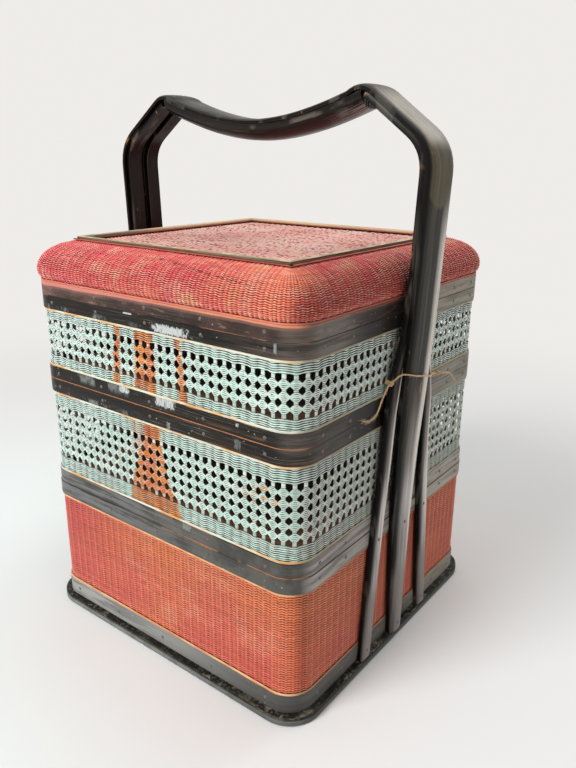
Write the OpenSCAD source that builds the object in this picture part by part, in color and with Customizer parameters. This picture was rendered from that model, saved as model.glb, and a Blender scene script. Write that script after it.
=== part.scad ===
// Tiffin carrier: a stack of woven trays and a domed lid held in a lacquered handle frame.
// Millimetres. +Z is up, X runs along the handle, Y points away from the front face.
// The origin is at the centre of the underside of the plinth.

/* [Body] */
// Outside width and depth of the bottom tray over its bands
body_w = 300; // [280:5:320]
// Corner radius of the trays over their bands
corner_r = 24; // [20:1:28]
// Gap left all round between a lifting tray and the side struts
tray_gap = 0.5; // [0.4:0.1:1]
// Thickness of the black lacquered bands
band_t = 2.8; // [2.2:0.2:3.4]
// Thickness of the stake ends held behind the bands
stake_t = 0.9; // [0.7:0.1:1.2]
// Thickness of a woven wall between the bands
weave_t = 2.4; // [2:0.1:2.6]
// Thickness of the inner hoops
hoop_t = 3; // [2.5:0.5:4]

/* [Plinth] */
// Height of the plinth moulding
plinth_h = 8; // [6:1:10]
// How far the plinth stands out past the bottom tray
plinth_out = 6; // [6:0.5:8]
// Width of the plinth moulding from outside to inside
plinth_rim_w = 20; // [16:1:26]
// Thickness of the base board
base_board_t = 5; // [4:0.5:6]

/* [Trays] */
// Height of the foot band of the bottom tray
bottom_foot_h = 16; // [14:1:18]
// Height of the woven wall of the bottom tray
bottom_weave_h = 94; // [86:1:100]
// Height of every other black band on the trays
band_h = 13; // [12:0.5:14]
// Height of the woven wall of the middle tray
middle_weave_h = 79; // [76:1:84]
// Height of the woven wall of the upper tray
upper_weave_h = 53; // [50:1:58]
// How far the inner hoop stands up as a locating lip
lip_h = 5; // [4:0.5:5.5]
// Running gap round the locating lip
lip_gap = 0.4; // [0.3:0.1:0.8]
// Thickness of the tray floors
floor_t = 3; // [2:0.5:3]
// Height of the cane line beside each band
cane_h = 2; // [1.5:0.5:2.5]
// How far the weave of the bottom tray stands out over each stake
rib_h = 0.8; // [0.6:0.1:1]

/* [Openwork] */
// Height of one row of holes
hole_pitch = 9; // [8.5:0.5:9.5]
// Width of a hole
hole_w = 5.6; // [4.5:0.1:6]
// Height of a hole
hole_h = 6.4; // [5:0.1:7]
// Hole columns on each flat side
side_columns = 28; // [26:1:28]
// Hole rows on the middle tray
middle_rows = 6; // [4:1:6]
// Hole rows on the upper tray
upper_rows = 4; // [3:1:4]

/* [Lid] */
// Height of the lid band
lid_band_h = 12; // [10:1:13]
// Rise of the woven dome above the lid band
dome_h = 34; // [30:1:38]
// Width of the flat crown over its frame
crown_w = 237; // [230:1:242]
// Width of the crown frame strips
frame_w = 5.5; // [4.5:0.5:7]
// Height of the crown frame strips
frame_h = 2.4; // [2:0.2:3]
// Thickness of the crown panel
panel_t = 2.4; // [2:0.2:3]
// Courses of strands in the crown panel, with a groove between each two
panel_courses = 16; // [12:1:20]
// Depth of the grooves of the crown panel
course_d = 0.8; // [0.6:0.1:1]

/* [Handle] */
// Height of the handle peaks above the table
handle_h = 484; // [478:1:492]
// Width over the legs of the handle at the shoulder bends
handle_w = 341; // [339:1:346]
// Distance between the two peaks
peak_w = 216; // [206:2:226]
// Height of the shoulder bends below the peaks
shoulder_drop = 46; // [40:1:52]
// How far the grip dips between the peaks
grip_dip = 23.5; // [20:0.5:26]
// Width of the broad handle strip
strip_w = 42; // [38:1:44]
// Thickness of the broad handle strip
strip_t = 5; // [4.5:0.5:5.5]
// Depth of the half round strip under the grip
grip_t = 13; // [11:1:15]
// Width of the half round strip under the grip
grip_w = 37; // [34:1:40]
// Thickness of the side struts
strut_t = 5.5; // [5:0.5:6]
// Width of a side strut at its foot
strut_w = 15; // [13:1:16]
// Distance from the middle of a side strut foot to the middle of the leg
strut_spread = 52; // [48:1:56]

/* [Fittings] */
// Radius of a nail head
nail_r = 1.6; // [1.2:0.1:2]
// Height of a nail head
nail_h = 0.8; // [0.5:0.1:1]
// Thickness of the tied twine
twine_d = 1.5; // [1.2:0.1:1.5]

/* [Hidden] */
$fn = 48;
eps = 0.01;
half_body = body_w / 2;
half_tray = half_body - tray_gap;
// Levels from the table up; the upper tray has slightly narrower bands
narrower = 1;
z_foot = plinth_h;
z_bottom_weave = z_foot + bottom_foot_h;
z_bottom_rim = z_bottom_weave + bottom_weave_h;
z_middle = z_bottom_rim + band_h;
z_middle_weave = z_middle + band_h;
z_middle_rim = z_middle_weave + middle_weave_h;
z_upper = z_middle_rim + band_h;
z_upper_weave = z_upper + band_h - narrower;
z_upper_rim = z_upper_weave + upper_weave_h;
z_lid = z_upper_rim + band_h - narrower;
z_dome = z_lid + lid_band_h;
z_crown = z_dome + dome_h;
// Depths into the wall, measured from the outside of a band
in_skirt = band_t;
in_hoop = band_t + stake_t;
in_room = in_hoop + hoop_t;
in_weave = in_hoop - weave_t;
cane_t = 1;
floor_lift = lip_h + 1;
skirting_over = 3;
half_crown = crown_w / 2;
// The dome: width of the shoulder in the profile, rim that the crown strips cover, corner radii
dome_in_w = 31;
crown_rim = 6.5;
crown_share = 0.085;
cane_share = 0.06;
facet_gap = 0.12;
corner_fade = 0.68;
crown_r = 2.5;
z_crown_under = z_crown - crown_share * dome_h;
binding_t = 0.7;
binding_out = 3;
mitre_gap = 0.1;
ledger_in = 9;
ledger_t = 3;
corner_steps = 8;
groove_d = 0.8;
groove_w = 0.9;
hole_depth = 12;
corner_columns = 4;

// A rounded square slab of half width h and corner radius r from z0 to z1
module slab(h, r, z0, z1) {
  k = max(r, 1);
  translate([-h, -(h - k), z0]) cube([2 * h, 2 * (h - k), z1 - z0]);
  translate([-(h - k), -h, z0]) cube([2 * (h - k), 2 * h, z1 - z0]);
  for (sx = [-1, 1], sy = [-1, 1])
    translate([sx * (h - k), sy * (h - k), z0]) cylinder(h = z1 - z0, r = k);
}

// A hoop round the body: outside half width h, reaching from depth d0 to depth d1 into the wall
module hoop(h, d0, d1, z0, z1, r = corner_r) {
  difference() {
    slab(h - d0, r - d0, z0, z1);
    slab(h - d1, r - d1, z0 - 1, z1 + 1);
  }
}

// Plan outline of a rounded square as points at height z
function plan_ring(h, r, z) = [
  for (q = [0:3], i = [0:corner_steps])
    let (a = q * 90 + i * 90 / corner_steps,
         cx = (q == 0 || q == 3) ? h - r : r - h,
         cy = (q < 2) ? h - r : r - h)
      [cx + r * cos(a), cy + r * sin(a), z]
];

// Skin that closes a loop of equal point rings into a hollow ring
module closed_loft(rings) {
  n = len(rings);
  m = len(rings[0]);
  pts = [for (g = rings, p = g) p];
  faces = [
    for (i = [0:n - 1], j = [0:m - 1])
      let (a = i * m + j, b = i * m + (j + 1) % m,
           c = ((i + 1) % n) * m + j, d = ((i + 1) % n) * m + (j + 1) % m)
        each [[a, c, b], [b, c, d]]
  ];
  polyhedron(points = pts, faces = faces, convexity = 6);
}

// Skin along a row of equal sections, closed by flat ends
module open_loft(rings) {
  n = len(rings);
  m = len(rings[0]);
  pts = [for (g = rings, p = g) p];
  sides = [
    for (i = [0:n - 2], j = [0:m - 1])
      let (a = i * m + j, b = i * m + (j + 1) % m, c = (i + 1) * m + j, d = (i + 1) * m + (j + 1) % m)
        each [[a, b, c], [b, d, c]]
  ];
  first = [for (j = [0:m - 1]) m - 1 - j];
  last = [for (j = [0:m - 1]) (n - 1) * m + j];
  polyhedron(points = pts, faces = concat(sides, [first], [last]), convexity = 6);
}

// Black bands, hoops, floors and canes shared by the trays
module band(h, z0, z1) {
  color([0.1, 0.09, 0.09]) hoop(h, 0, in_skirt, z0, z1);
}

module inner_hoop(h, z0, z1, lip) {
  color([0.24, 0.17, 0.12]) union() {
    hoop(h, in_hoop, in_room, z0, z1);
    if (lip > 0) hoop(h, in_hoop + lip_gap + h - half_tray, in_room, z1 - 1, z1 + lip);
  }
}

module tray_floor(h, z) {
  color([0.3, 0.2, 0.13])
    slab(h - in_hoop, corner_r - in_hoop, z + floor_lift, z + floor_lift + floor_t);
}

module canes(h, z0, z1) {
  color([0.78, 0.5, 0.3]) {
    hoop(h, in_weave - cane_t, in_weave, z0, z0 + cane_h);
    hoop(h, in_weave - cane_t, in_weave, z1 - cane_h, z1);
  }
}

// Plan outline of a wall of half width h and corner radius r that stands out over every stake
function stake_outline(h, r) = [
  for (q = [0:3], i = [0:2 * (side_columns + corner_columns) - 1])
    let (flat = h - r, reach = i % 2 == 0 ? r : r - rib_h,
         turn = max(i / 2 - side_columns, 0) / corner_columns * 90,
         x = (min(i / side_columns, 2) - 1) * flat + reach * sin(turn),
         y = -flat - reach * cos(turn))
      [x * cos(q * 90) - y * sin(q * 90), x * sin(q * 90) + y * cos(q * 90)]
];

// Woven wall: thin stake ends behind both bands, thicker weave ribbed by its stakes between z0 and z1
module woven_wall(h, z0, z1, foot, rim) {
  in_rib = in_weave + facet_gap;
  difference() {
    union() {
      hoop(h, in_skirt, in_hoop, z0 - foot, z1 + rim);
      hoop(h, in_weave, in_hoop, z0, z1);
    }
    difference() {
      slab(h, corner_r, z0 + cane_h, z1 - cane_h);
      translate([0, 0, z0]) linear_extrude(height = z1 - z0)
        polygon(stake_outline(h - in_rib, corner_r - in_rib));
    }
  }
}

module hole_sheet(w, rows, pitch, tall) {
  linear_extrude(height = weave_t, convexity = 8) difference() {
    translate([-w / 2, -eps]) square([w, tall + 2 * eps]);
    for (i = [0:side_columns - 1], j = [0:rows - 1])
      translate([(i + 0.5 - side_columns / 2) * pitch, tall / 2 + (j - (rows - 1) / 2) * hole_pitch])
        polygon([[-hole_w / 2, 0], [0, hole_h / 2], [hole_w / 2, 0], [0, -hole_h / 2]]);
  }
}

// Openwork wall: a pierced sheet on each side and pierced quarter rings at the corners
module openwork_wall(h, z0, z1, rows) {
  flat = 2 * (h - corner_r);
  union() {
    difference() {
      hoop(h, in_skirt, in_hoop, z0 - band_h + eps, z1 + band_h - narrower);
      slab(2 * h, corner_r, z0 + cane_h, z1 - cane_h);
    }
    difference() {
      hoop(h, in_weave, in_hoop, z0, z1);
      slab(2 * h, corner_r, z0 + cane_h, z1 - cane_h);
    }
    for (q = [0:3]) rotate([0, 0, q * 90]) {
      translate([0, -h + in_hoop, z0 + cane_h]) rotate([90, 0, 0])
        hole_sheet(flat, rows, flat / side_columns, z1 - z0 - 2 * cane_h);
      translate([flat / 2, flat / 2, z0 + cane_h]) difference() {
        intersection() {
          translate([0, 0, -eps]) cylinder(h = z1 - z0 - 2 * cane_h + 2 * eps, r = corner_r - in_weave);
          translate([0, 0, -band_h]) cube([corner_r, corner_r, z1 - z0]);
        }
        translate([0, 0, -1]) cylinder(h = z1 - z0, r = corner_r - in_hoop);
        for (i = [0:corner_columns - 1], j = [0:rows - 1])
          rotate([0, 0, (i + 0.5) * 90 / corner_columns])
            translate([corner_r - hole_depth / 2, 0,
                       (z1 - z0) / 2 - cane_h + (j - (rows - 1) / 2) * hole_pitch])
              rotate([90, 0, 90]) linear_extrude(height = hole_depth)
                polygon([[-hole_w / 2, 0], [0, hole_h / 2], [hole_w / 2, 0], [0, -hole_h / 2]]);
      }
    }
  }
}

// Nail heads round a band: the places along a front or back face, then along a side face
front_nails = [-0.4, -0.2, 0, 0.2, 0.4];
side_nails = [-0.4, -0.28, 0.28, 0.4];
module nail_head() {
  cylinder(h = nail_h, r1 = nail_r, r2 = nail_r * 0.6, $fn = 24);
}
module band_nails(h, z) {
  color([0.35, 0.33, 0.31]) {
    for (s = [0, 180], f = front_nails)
      rotate([0, 0, s]) translate([f * body_w, -h, z]) rotate([90, 0, 0]) nail_head();
    for (s = [0, 180], f = side_nails)
      rotate([0, 0, s]) translate([h, f * body_w, z]) rotate([0, 90, 0]) nail_head();
  }
}

// Fixed base and bottom tray
module plinth() {
  color([0.12, 0.11, 0.11]) difference() {
    slab(half_body + plinth_out, corner_r + plinth_out, 0, plinth_h);
    slab(half_body + plinth_out - plinth_rim_w, corner_r, -1, plinth_h + 1);
    difference() {
      slab(half_body + plinth_out + 1, corner_r + plinth_out + 1, plinth_h * 0.6, plinth_h * 0.6 + groove_w);
      slab(half_body + plinth_out - groove_d, corner_r + plinth_out - groove_d, 0, plinth_h);
    }
  }
}
module base_board() {
  color([0.3, 0.2, 0.13])
    slab(half_body + plinth_out - plinth_rim_w, corner_r, plinth_h - base_board_t, plinth_h);
}
module bottom_foot_band() { band(half_body, z_foot, z_bottom_weave); }
module bottom_foot_hoop() { inner_hoop(half_body, z_foot, z_bottom_weave + skirting_over, 0); }
module bottom_weave() {
  color([0.72, 0.36, 0.28])
    woven_wall(half_body, z_bottom_weave, z_bottom_rim, bottom_foot_h, band_h);
}
module bottom_rim_band() { band(half_body, z_bottom_rim, z_middle); }
module bottom_rim_hoop() { inner_hoop(half_body, z_bottom_rim, z_middle, lip_h); }
module bottom_canes() { canes(half_body, z_bottom_weave, z_bottom_rim); }
module bottom_nails() {
  band_nails(half_body, (z_foot + z_bottom_weave) / 2);
  band_nails(half_body, (z_bottom_rim + z_middle) / 2);
}

// Middle tray
module middle_foot_band() { band(half_tray, z_middle, z_middle_weave); }
module middle_foot_hoop() {
  inner_hoop(half_tray, z_middle + floor_lift + floor_t, z_middle_weave + skirting_over, 0);
}
module middle_floor() { tray_floor(half_tray, z_middle); }
module middle_weave() {
  color([0.78, 0.87, 0.83]) openwork_wall(half_tray, z_middle_weave, z_middle_rim, middle_rows);
}
module middle_rim_band() { band(half_tray, z_middle_rim, z_upper); }
module middle_rim_hoop() { inner_hoop(half_tray, z_middle_rim, z_upper, lip_h); }
module middle_canes() { canes(half_tray, z_middle_weave, z_middle_rim); }
module middle_nails() {
  band_nails(half_tray, (z_middle + z_middle_weave) / 2);
  band_nails(half_tray, (z_middle_rim + z_upper) / 2);
}

// Upper tray
module upper_foot_band() { band(half_tray, z_upper, z_upper_weave); }
module upper_foot_hoop() {
  inner_hoop(half_tray, z_upper + floor_lift + floor_t, z_upper_weave + skirting_over, 0);
}
module upper_floor() { tray_floor(half_tray, z_upper); }
module upper_weave() {
  color([0.78, 0.87, 0.83]) openwork_wall(half_tray, z_upper_weave, z_upper_rim, upper_rows);
}
module upper_rim_band() { band(half_tray, z_upper_rim, z_lid); }
module upper_rim_hoop() { inner_hoop(half_tray, z_upper_rim, z_lid, lip_h); }
module upper_canes() { canes(half_tray, z_upper_weave, z_upper_rim); }
module upper_nails() {
  band_nails(half_tray, (z_upper + z_upper_weave) / 2);
  band_nails(half_tray, (z_upper_rim + z_lid) / 2);
}

// Lid: the outside of the dome as [depth in from the tray side, share of the dome height]
dome_out = [[in_skirt, -0.2], [in_skirt, cane_share], [0.2, cane_share], [-1.6, 0.14], [-2.4, 0.27], [-1.6, 0.43],
            [1.4, 0.6], [6.5, 0.75], [13.5, 0.87], [22, 0.95], [dome_in_w, 1], [dome_in_w + crown_rim, 1]];
dome_in = [[dome_in_w + crown_rim, 1 - crown_share], [dome_in_w, 1 - crown_share], [22.6, 0.865],
           [14.8, 0.787], [8.4, 0.68], [3.9, 0.555], [1.1, 0.41], [0.5, 0.28], [1.2, 0.18],
           [in_hoop - facet_gap, 0.09], [in_hoop - facet_gap, -0.2]];
// Half width of the dome at depth d: the wall stays put and the shoulder follows the crown width
function dome_half(d) =
  d <= in_hoop ? half_tray - d :
  d >= dome_in_w ? half_crown + dome_in_w - d :
  half_tray - in_hoop - (d - in_hoop) * (half_tray - in_hoop - half_crown) / (dome_in_w - in_hoop);
function dome_corner(d) = max(corner_r - (d <= in_hoop && d > 0 ? d : d * corner_fade), crown_r);
function dome_ring(p) = plan_ring(dome_half(p[0]), dome_corner(p[0]), z_dome + p[1] * dome_h);

module lid_band() { band(half_tray, z_lid, z_dome); }
module lid_hoop() { inner_hoop(half_tray, z_lid + floor_lift, z_dome, 0); }
module lid_weave() {
  color([0.72, 0.33, 0.3]) closed_loft([for (p = concat(dome_out, dome_in)) dome_ring(p)]);
}
module lid_cane() {
  color([0.85, 0.52, 0.4]) hoop(half_tray, 0, in_skirt - facet_gap, z_dome, z_dome + cane_share * dome_h - facet_gap);
}
module lid_ledger() {
  color([0.5, 0.36, 0.22]) difference() {
    slab(half_crown - 1, crown_r, z_crown_under - ledger_t, z_crown_under);
    slab(half_crown - crown_rim - ledger_in, crown_r, z_dome, z_crown);
  }
}
module lid_panel() {
  half = half_crown - crown_rim;
  top = z_crown_under + panel_t;
  color([0.84, 0.62, 0.56]) difference() {
    slab(half, crown_r, z_crown_under, top);
    for (i = [1:panel_courses - 1])
      translate([0, (2 * i / panel_courses - 1) * half, top]) rotate([45, 0, 0])
        cube([2 * half + 2, course_d * sqrt(2), course_d * sqrt(2)], center = true);
  }
}
module lid_binding() {
  color([0.55, 0.2, 0.16]) difference() {
    slab(half_crown + binding_out, crown_r, z_crown, z_crown + binding_t);
    slab(half_crown - frame_w, crown_r, z_dome, z_crown + 2 * binding_t);
  }
}
// One mitred strip of the crown frame, laid along the front
module frame_strip() {
  a = half_crown - mitre_gap;
  b = a - frame_w;
  translate([0, 0, z_crown + binding_t]) linear_extrude(height = frame_h)
    polygon([[-a, -half_crown], [a, -half_crown], [b, frame_w - half_crown], [-b, frame_w - half_crown]]);
}
module lid_frame() {
  color([0.5, 0.42, 0.28]) for (q = [0:3]) rotate([0, 0, q * 90]) frame_strip();
}
module lid_nails() { band_nails(half_tray, (z_lid + z_dome) / 2); }

// Handle: the inside face of the broad strip, as [x, z] from the foot up to the middle of the grip
half_peak = peak_w / 2;
leg_x = handle_w / 2 - strip_t;
z_bend = handle_h - shoulder_drop;
rise = z_bend - z_middle;
leg_start = 4;
leg_line = [
  [half_body, z_foot], [half_body, z_middle * 0.5], [half_body, z_middle - leg_start],
  [half_body + 0.16 * (leg_x - half_body), z_middle + 0.19 * rise],
  [half_body + 0.42 * (leg_x - half_body), z_middle + 0.39 * rise],
  [half_body + 0.66 * (leg_x - half_body), z_middle + 0.55 * rise],
  [half_body + 0.82 * (leg_x - half_body), z_middle + 0.71 * rise],
  [half_body + 0.94 * (leg_x - half_body), z_middle + 0.86 * rise]];
bend = [leg_x + 1, z_bend];
peak = [half_peak - 1, handle_h - strip_t + 3];
function mix(a, b, t) = a + (b - a) * t;
function curve(a, b, c, t) = mix(mix(a, b, t), mix(b, c, t), t);
function saddle(x) = [x, handle_h - strip_t - grip_dip + grip_dip * pow(abs(x) / half_peak, 1.8)];
function unit(v) = v / norm(v);
bend_ease = 20;
peak_ease = 11;
saddle_ease = 12;
bend_in = bend + bend_ease * unit(leg_line[7] - bend);
bend_out = bend + bend_ease * unit(peak - bend);
peak_in = peak + peak_ease * unit(bend - peak);
peak_out = saddle(half_peak - saddle_ease);
bend_steps = 7;
saddle_steps = 12;
right_line = concat(
  leg_line,
  [for (i = [0:bend_steps]) curve(bend_in, bend, bend_out, i / bend_steps)],
  [mix(bend_out, peak_in, 0.5)],
  [for (i = [0:bend_steps]) curve(peak_in, peak, peak_out, i / bend_steps)],
  [for (i = [1:saddle_steps]) saddle((half_peak - saddle_ease) * (1 - i / saddle_steps))]);
last_right = len(right_line) - 1;
arch_line = concat(right_line, [for (i = [last_right - 1:-1:0]) [-right_line[i][0], right_line[i][1]]]);
// Sideways direction pointing out of the handle at point i of a line
function out_dir(line, i) =
  let (a = line[max(i - 1, 0)], b = line[min(i + 1, len(line) - 1)], t = unit(b - a)) [t[1], -t[0]];
// Width and thickness of the broad strip at height z
function strip_w_at(z) = lookup(z, [
  [z_foot, strip_w * 0.46], [z_middle * 0.55, strip_w * 0.6], [z_middle, strip_w * 0.73],
  [z_middle + 0.2 * rise, strip_w * 0.86], [z_middle + 0.36 * rise, strip_w], [handle_h, strip_w]]);
function strip_t_at(z) = lookup(z, [
  [z_foot, strip_t + 2.6], [z_middle, strip_t + 2.8], [z_middle + 0.5 * rise, strip_t + 0.4],
  [z_middle + 0.7 * rise, strip_t], [handle_h, strip_t]]);
strip_section = [[-0.5, 0], [0.5, 0], [0.5, 0.5], [0.46, 0.72], [0.36, 0.87], [0.2, 0.96], [0, 1],
                 [-0.2, 0.96], [-0.36, 0.87], [-0.46, 0.72], [-0.5, 0.5]];
function strip_ring(c, n, y, w, t, section) =
  [for (s = section) [c[0] + n[0] * s[1] * t, y + s[0] * w, c[1] + n[1] * s[1] * t]];

module handle_strip() {
  color([0.1, 0.09, 0.08]) open_loft([
    for (i = [0:len(arch_line) - 1])
      let (c = arch_line[i], n = (i == 0) ? [1, 0] : (i == len(arch_line) - 1) ? [-1, 0] : out_dir(arch_line, i))
        strip_ring(c, n, 0, strip_w_at(c[1]), strip_t_at(c[1]), strip_section)]);
}

// Half round strip under the grip, from peak to peak
grip_section = [[0.5, -0.01], [-0.5, -0.01], [-0.5, -0.3], [-0.44, -0.6], [-0.3, -0.85], [-0.12, -0.98],
                [0.12, -0.98], [0.3, -0.85], [0.44, -0.6], [0.5, -0.3]];
grip_reach = half_peak - 1;
module handle_grip() {
  color([0.14, 0.08, 0.07]) open_loft([
    for (i = [-saddle_steps:saddle_steps])
      let (x = -grip_reach * i / saddle_steps)
        strip_ring([x, saddle(x)[1] - 0.15], [0, 1], 0, grip_w, grip_t, grip_section)]);
}

// Side struts: two to each leg, flat against the inside of the broad strip, then splayed
strut_section = [[-0.5, 0], [0.5, 0], [0.5, 0.6], [0.46, 0.85], [0.3, 0.98], [-0.3, 0.98],
                 [-0.46, 0.85], [-0.5, 0.6]];
strut_gap = 0.15;
strut_first = 6;
strut_last = len(leg_line) + bend_steps + 4;
strut_low = [
  [half_body, z_foot], [half_body, z_middle * 0.5], [half_body, z_middle - leg_start],
  [half_body + 1.1, z_middle + 0.19 * rise],
  [half_body + 1.9, z_middle + 0.33 * rise],
  [half_body + 2.2, z_middle + 0.44 * rise],
  [mix(leg_line[4], leg_line[5], 0.86)[0] - strut_t - strut_gap, mix(leg_line[4], leg_line[5], 0.86)[1]]];
strut_line = concat(
  strut_low,
  [for (i = [strut_first:strut_last])
    right_line[i] - (strut_t + strut_gap) * out_dir(right_line, i)]);
near_y = strip_w / 4 + 0.6;
function strut_y_at(z) = lookup(z, [
  [z_foot, strut_spread], [z_foot + 0.43 * z_middle, strut_spread * 0.9],
  [z_middle - 2 * leg_start, strut_spread * 0.79], [z_middle + 0.2 * rise, strut_spread * 0.65],
  [z_middle + 0.33 * rise, strut_spread * 0.6], [z_middle + 0.42 * rise, strut_spread * 0.52],
  [z_middle + 0.5 * rise, strut_spread * 0.34], [z_middle + 0.58 * rise, near_y], [handle_h, near_y]]);
function strut_w_at(z) = lookup(z, [
  [z_foot, strut_w], [z_middle, strut_w], [z_middle + 0.2 * rise, strut_w - 1.6],
  [z_middle + 0.45 * rise, strut_w - 1.8], [z_middle + 0.62 * rise, strut_w], [handle_h, strut_w]]);
module strut(sx, sy) {
  color([0.12, 0.11, 0.1]) scale([sx, sy, 1]) open_loft([
    for (i = [0:len(strut_line) - 1])
      let (c = strut_line[i], n = (i == 0) ? [1, 0] : out_dir(strut_line, i))
        strip_ring(c, n, strut_y_at(c[1]), strut_w_at(c[1]), strut_t, strut_section)]);
}
module strut_front_right() { strut(1, -1); }
module strut_back_right() { strut(1, 1); }
module strut_front_left() { strut(-1, -1); }
module strut_back_left() { strut(-1, 1); }

// Nail heads on the struts and legs
z_low_nail = z_foot + bottom_foot_h / 2;
z_rim_nail = z_bottom_rim + band_h / 3;
module strut_nails() {
  color([0.3, 0.29, 0.28]) for (s = [0, 180]) rotate([0, 0, s]) {
    for (z = [z_low_nail, z_rim_nail]) {
      translate([half_body + strip_t_at(z), 0, z]) rotate([0, 90, 0]) nail_head();
      for (sy = [-1, 1])
        translate([half_body + strut_t * 0.98, sy * strut_y_at(z), z]) rotate([0, 90, 0]) nail_head();
    }
  }
}

// Twine: round the three struts on the +X side, with a loose end at the front
z_tie = z_upper + 26;
tie_in = half_body + 0.3 + twine_d / 2 - 0.25;
twine_line = [
  [11, -86, -17], [11.8, -80, -19], [12, -74, -19.4], [11.6, -68, -18.6], [11, -63, -15.5],
  [10.4, -58, -10.5], [10, -54, -6.5], [9.6, -50, -3], [9.2, -46, -0.8], [9, -42, 0.4], [9, -38, 1.2],
  [9.1, -34, 2.2], [9.3, -29, 3.2], [10, -25, 3.8], [12.6, -21.5, 3.4], [14.6, -16, 1.8], [15.2, -10, 0],
  [15.2, -4, -1.4], [15.2, 2, -2.8], [15, 8, -4.4], [14.6, 14, -6], [13.4, 19.5, -7.6], [11, 24, -8.6],
  [9.2, 29, -9.6], [8.8, 34, -10.4], [8.4, 38, -10.8], [8.2, 42, -11.2], [8, 46, -11.6], [7.4, 50, -12.2],
  [5.6, 52.4, -13], [3.4, 52, -13.6], [2, 48.6, -13.8], [1.2, 44, -13.4], [0.8, 38, -12.8],
  [0.8, 32, -12], [0.8, 26, -11], [0.8, 18, -9.6], [0.8, 10, -8.2], [0.8, 2, -6.8], [0.8, -6, -5.4],
  [0.8, -14, -4], [0.8, -22, -2.6], [0.8, -29, -1.6], [1.2, -33.6, -1.2], [2, -37.2, -0.8],
  [3.4, -40, -0.4], [5, -41.6, 0.1], [7.2, -42, 0.4]];
twine_sides = 8;
function lift(p) = [half_body + p[0], p[1], z_tie + p[2]];
// Ring of points round point i of a route
function cord_ring(line, i, r) =
  let (a = line[max(i - 1, 0)], b = line[min(i + 1, len(line) - 1)], t = unit(b - a),
       h = abs(t[2]) > 0.9 ? [1, 0, 0] : [0, 0, 1],
       u = unit(cross(t, h)), v = cross(t, u))
    [for (k = [0:twine_sides - 1])
      let (g = -k * 360 / twine_sides) lift(line[i] + r * (cos(g) * u + sin(g) * v))];
module cord(line) {
  open_loft([for (i = [0:len(line) - 1]) cord_ring(line, i, twine_d / 2)]);
}
module twine() { color([0.8, 0.66, 0.45]) cord(twine_line); }
twine_end_line = [[9.8, 42.2, -11.2], [12.2, 43.6, -11.2], [12.8, 47, -11.6], [12.8, 51, -12.2],
  [12.6, 56, -13.6], [12.4, 61, -16.2], [12.2, 66, -19.8], [12, 70.5, -24.4]];
module twine_end() { color([0.85, 0.72, 0.52]) cord(twine_end_line); }
// Turns of twine knotted round the standing part
module knot(p, q) {
  d = q - p;
  translate(lift(p)) rotate([0, acos(d[2] / norm(d)), atan2(d[1], d[0])])
    for (k = [-1, 1]) translate([0, 0, k * twine_d * 0.55])
      rotate_extrude($fn = 24) translate([twine_d, 0]) circle(d = twine_d, $fn = 16);
}
module twine_knots() {
  color([0.74, 0.58, 0.38]) {
    knot(twine_line[9], twine_line[10]);
    knot(twine_line[26], twine_line[27]);
  }
}

plinth();
base_board();
bottom_foot_band();
bottom_foot_hoop();
bottom_weave();
bottom_rim_band();
bottom_rim_hoop();
bottom_canes();
bottom_nails();
handle_strip();
handle_grip();
strut_front_right();
strut_back_right();
strut_front_left();
strut_back_left();
strut_nails();
twine();
twine_end();
twine_knots();
middle_foot_band();
middle_foot_hoop();
middle_floor();
middle_weave();
middle_rim_band();
middle_rim_hoop();
middle_canes();
middle_nails();
upper_foot_band();
upper_foot_hoop();
upper_floor();
upper_weave();
upper_rim_band();
upper_rim_hoop();
upper_canes();
upper_nails();
lid_band();
lid_hoop();
lid_weave();
lid_cane();
lid_ledger();
lid_panel();
lid_binding();
lid_frame();
lid_nails();
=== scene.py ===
import math

import bmesh
import bpy
from mathutils import Matrix, Vector, noise


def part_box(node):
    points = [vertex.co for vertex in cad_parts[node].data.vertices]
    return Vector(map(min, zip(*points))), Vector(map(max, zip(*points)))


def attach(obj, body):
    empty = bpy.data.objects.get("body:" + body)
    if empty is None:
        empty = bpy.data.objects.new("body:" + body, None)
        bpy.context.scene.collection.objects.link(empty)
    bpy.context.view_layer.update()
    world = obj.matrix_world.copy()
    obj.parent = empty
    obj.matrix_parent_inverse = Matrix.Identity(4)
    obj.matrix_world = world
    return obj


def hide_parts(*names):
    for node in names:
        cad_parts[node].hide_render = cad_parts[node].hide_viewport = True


# A lacquered cane tiffin carrier: woven trays and a domed lid in a bamboo handle frame.
# Metres. +Z is up, the front face looks along -Y and the twine is tied on the +X side.

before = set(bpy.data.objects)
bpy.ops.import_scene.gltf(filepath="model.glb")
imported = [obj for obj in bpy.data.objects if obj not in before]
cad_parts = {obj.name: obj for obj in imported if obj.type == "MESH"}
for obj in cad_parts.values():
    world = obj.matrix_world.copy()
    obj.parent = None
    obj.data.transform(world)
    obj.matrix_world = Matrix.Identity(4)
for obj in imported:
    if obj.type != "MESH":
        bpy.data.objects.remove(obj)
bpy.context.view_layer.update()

MM = 0.001


def low(node):
    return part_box(node)[0]


def high(node):
    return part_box(node)[1]


def levels_of(node):
    return low(node).z, high(node).z


# Sizes that the frame gives
HALF_FIXED = high("bottom_foot_band").x
HALF_TRAY = high("middle_foot_band").x
HALF_PLINTH = high("plinth").x
HALF_CROWN = high("lid_frame").x
WEAVE_FACE = HALF_FIXED - high("bottom_weave").x
CANE_FACE = HALF_FIXED - high("bottom_canes").x

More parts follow.
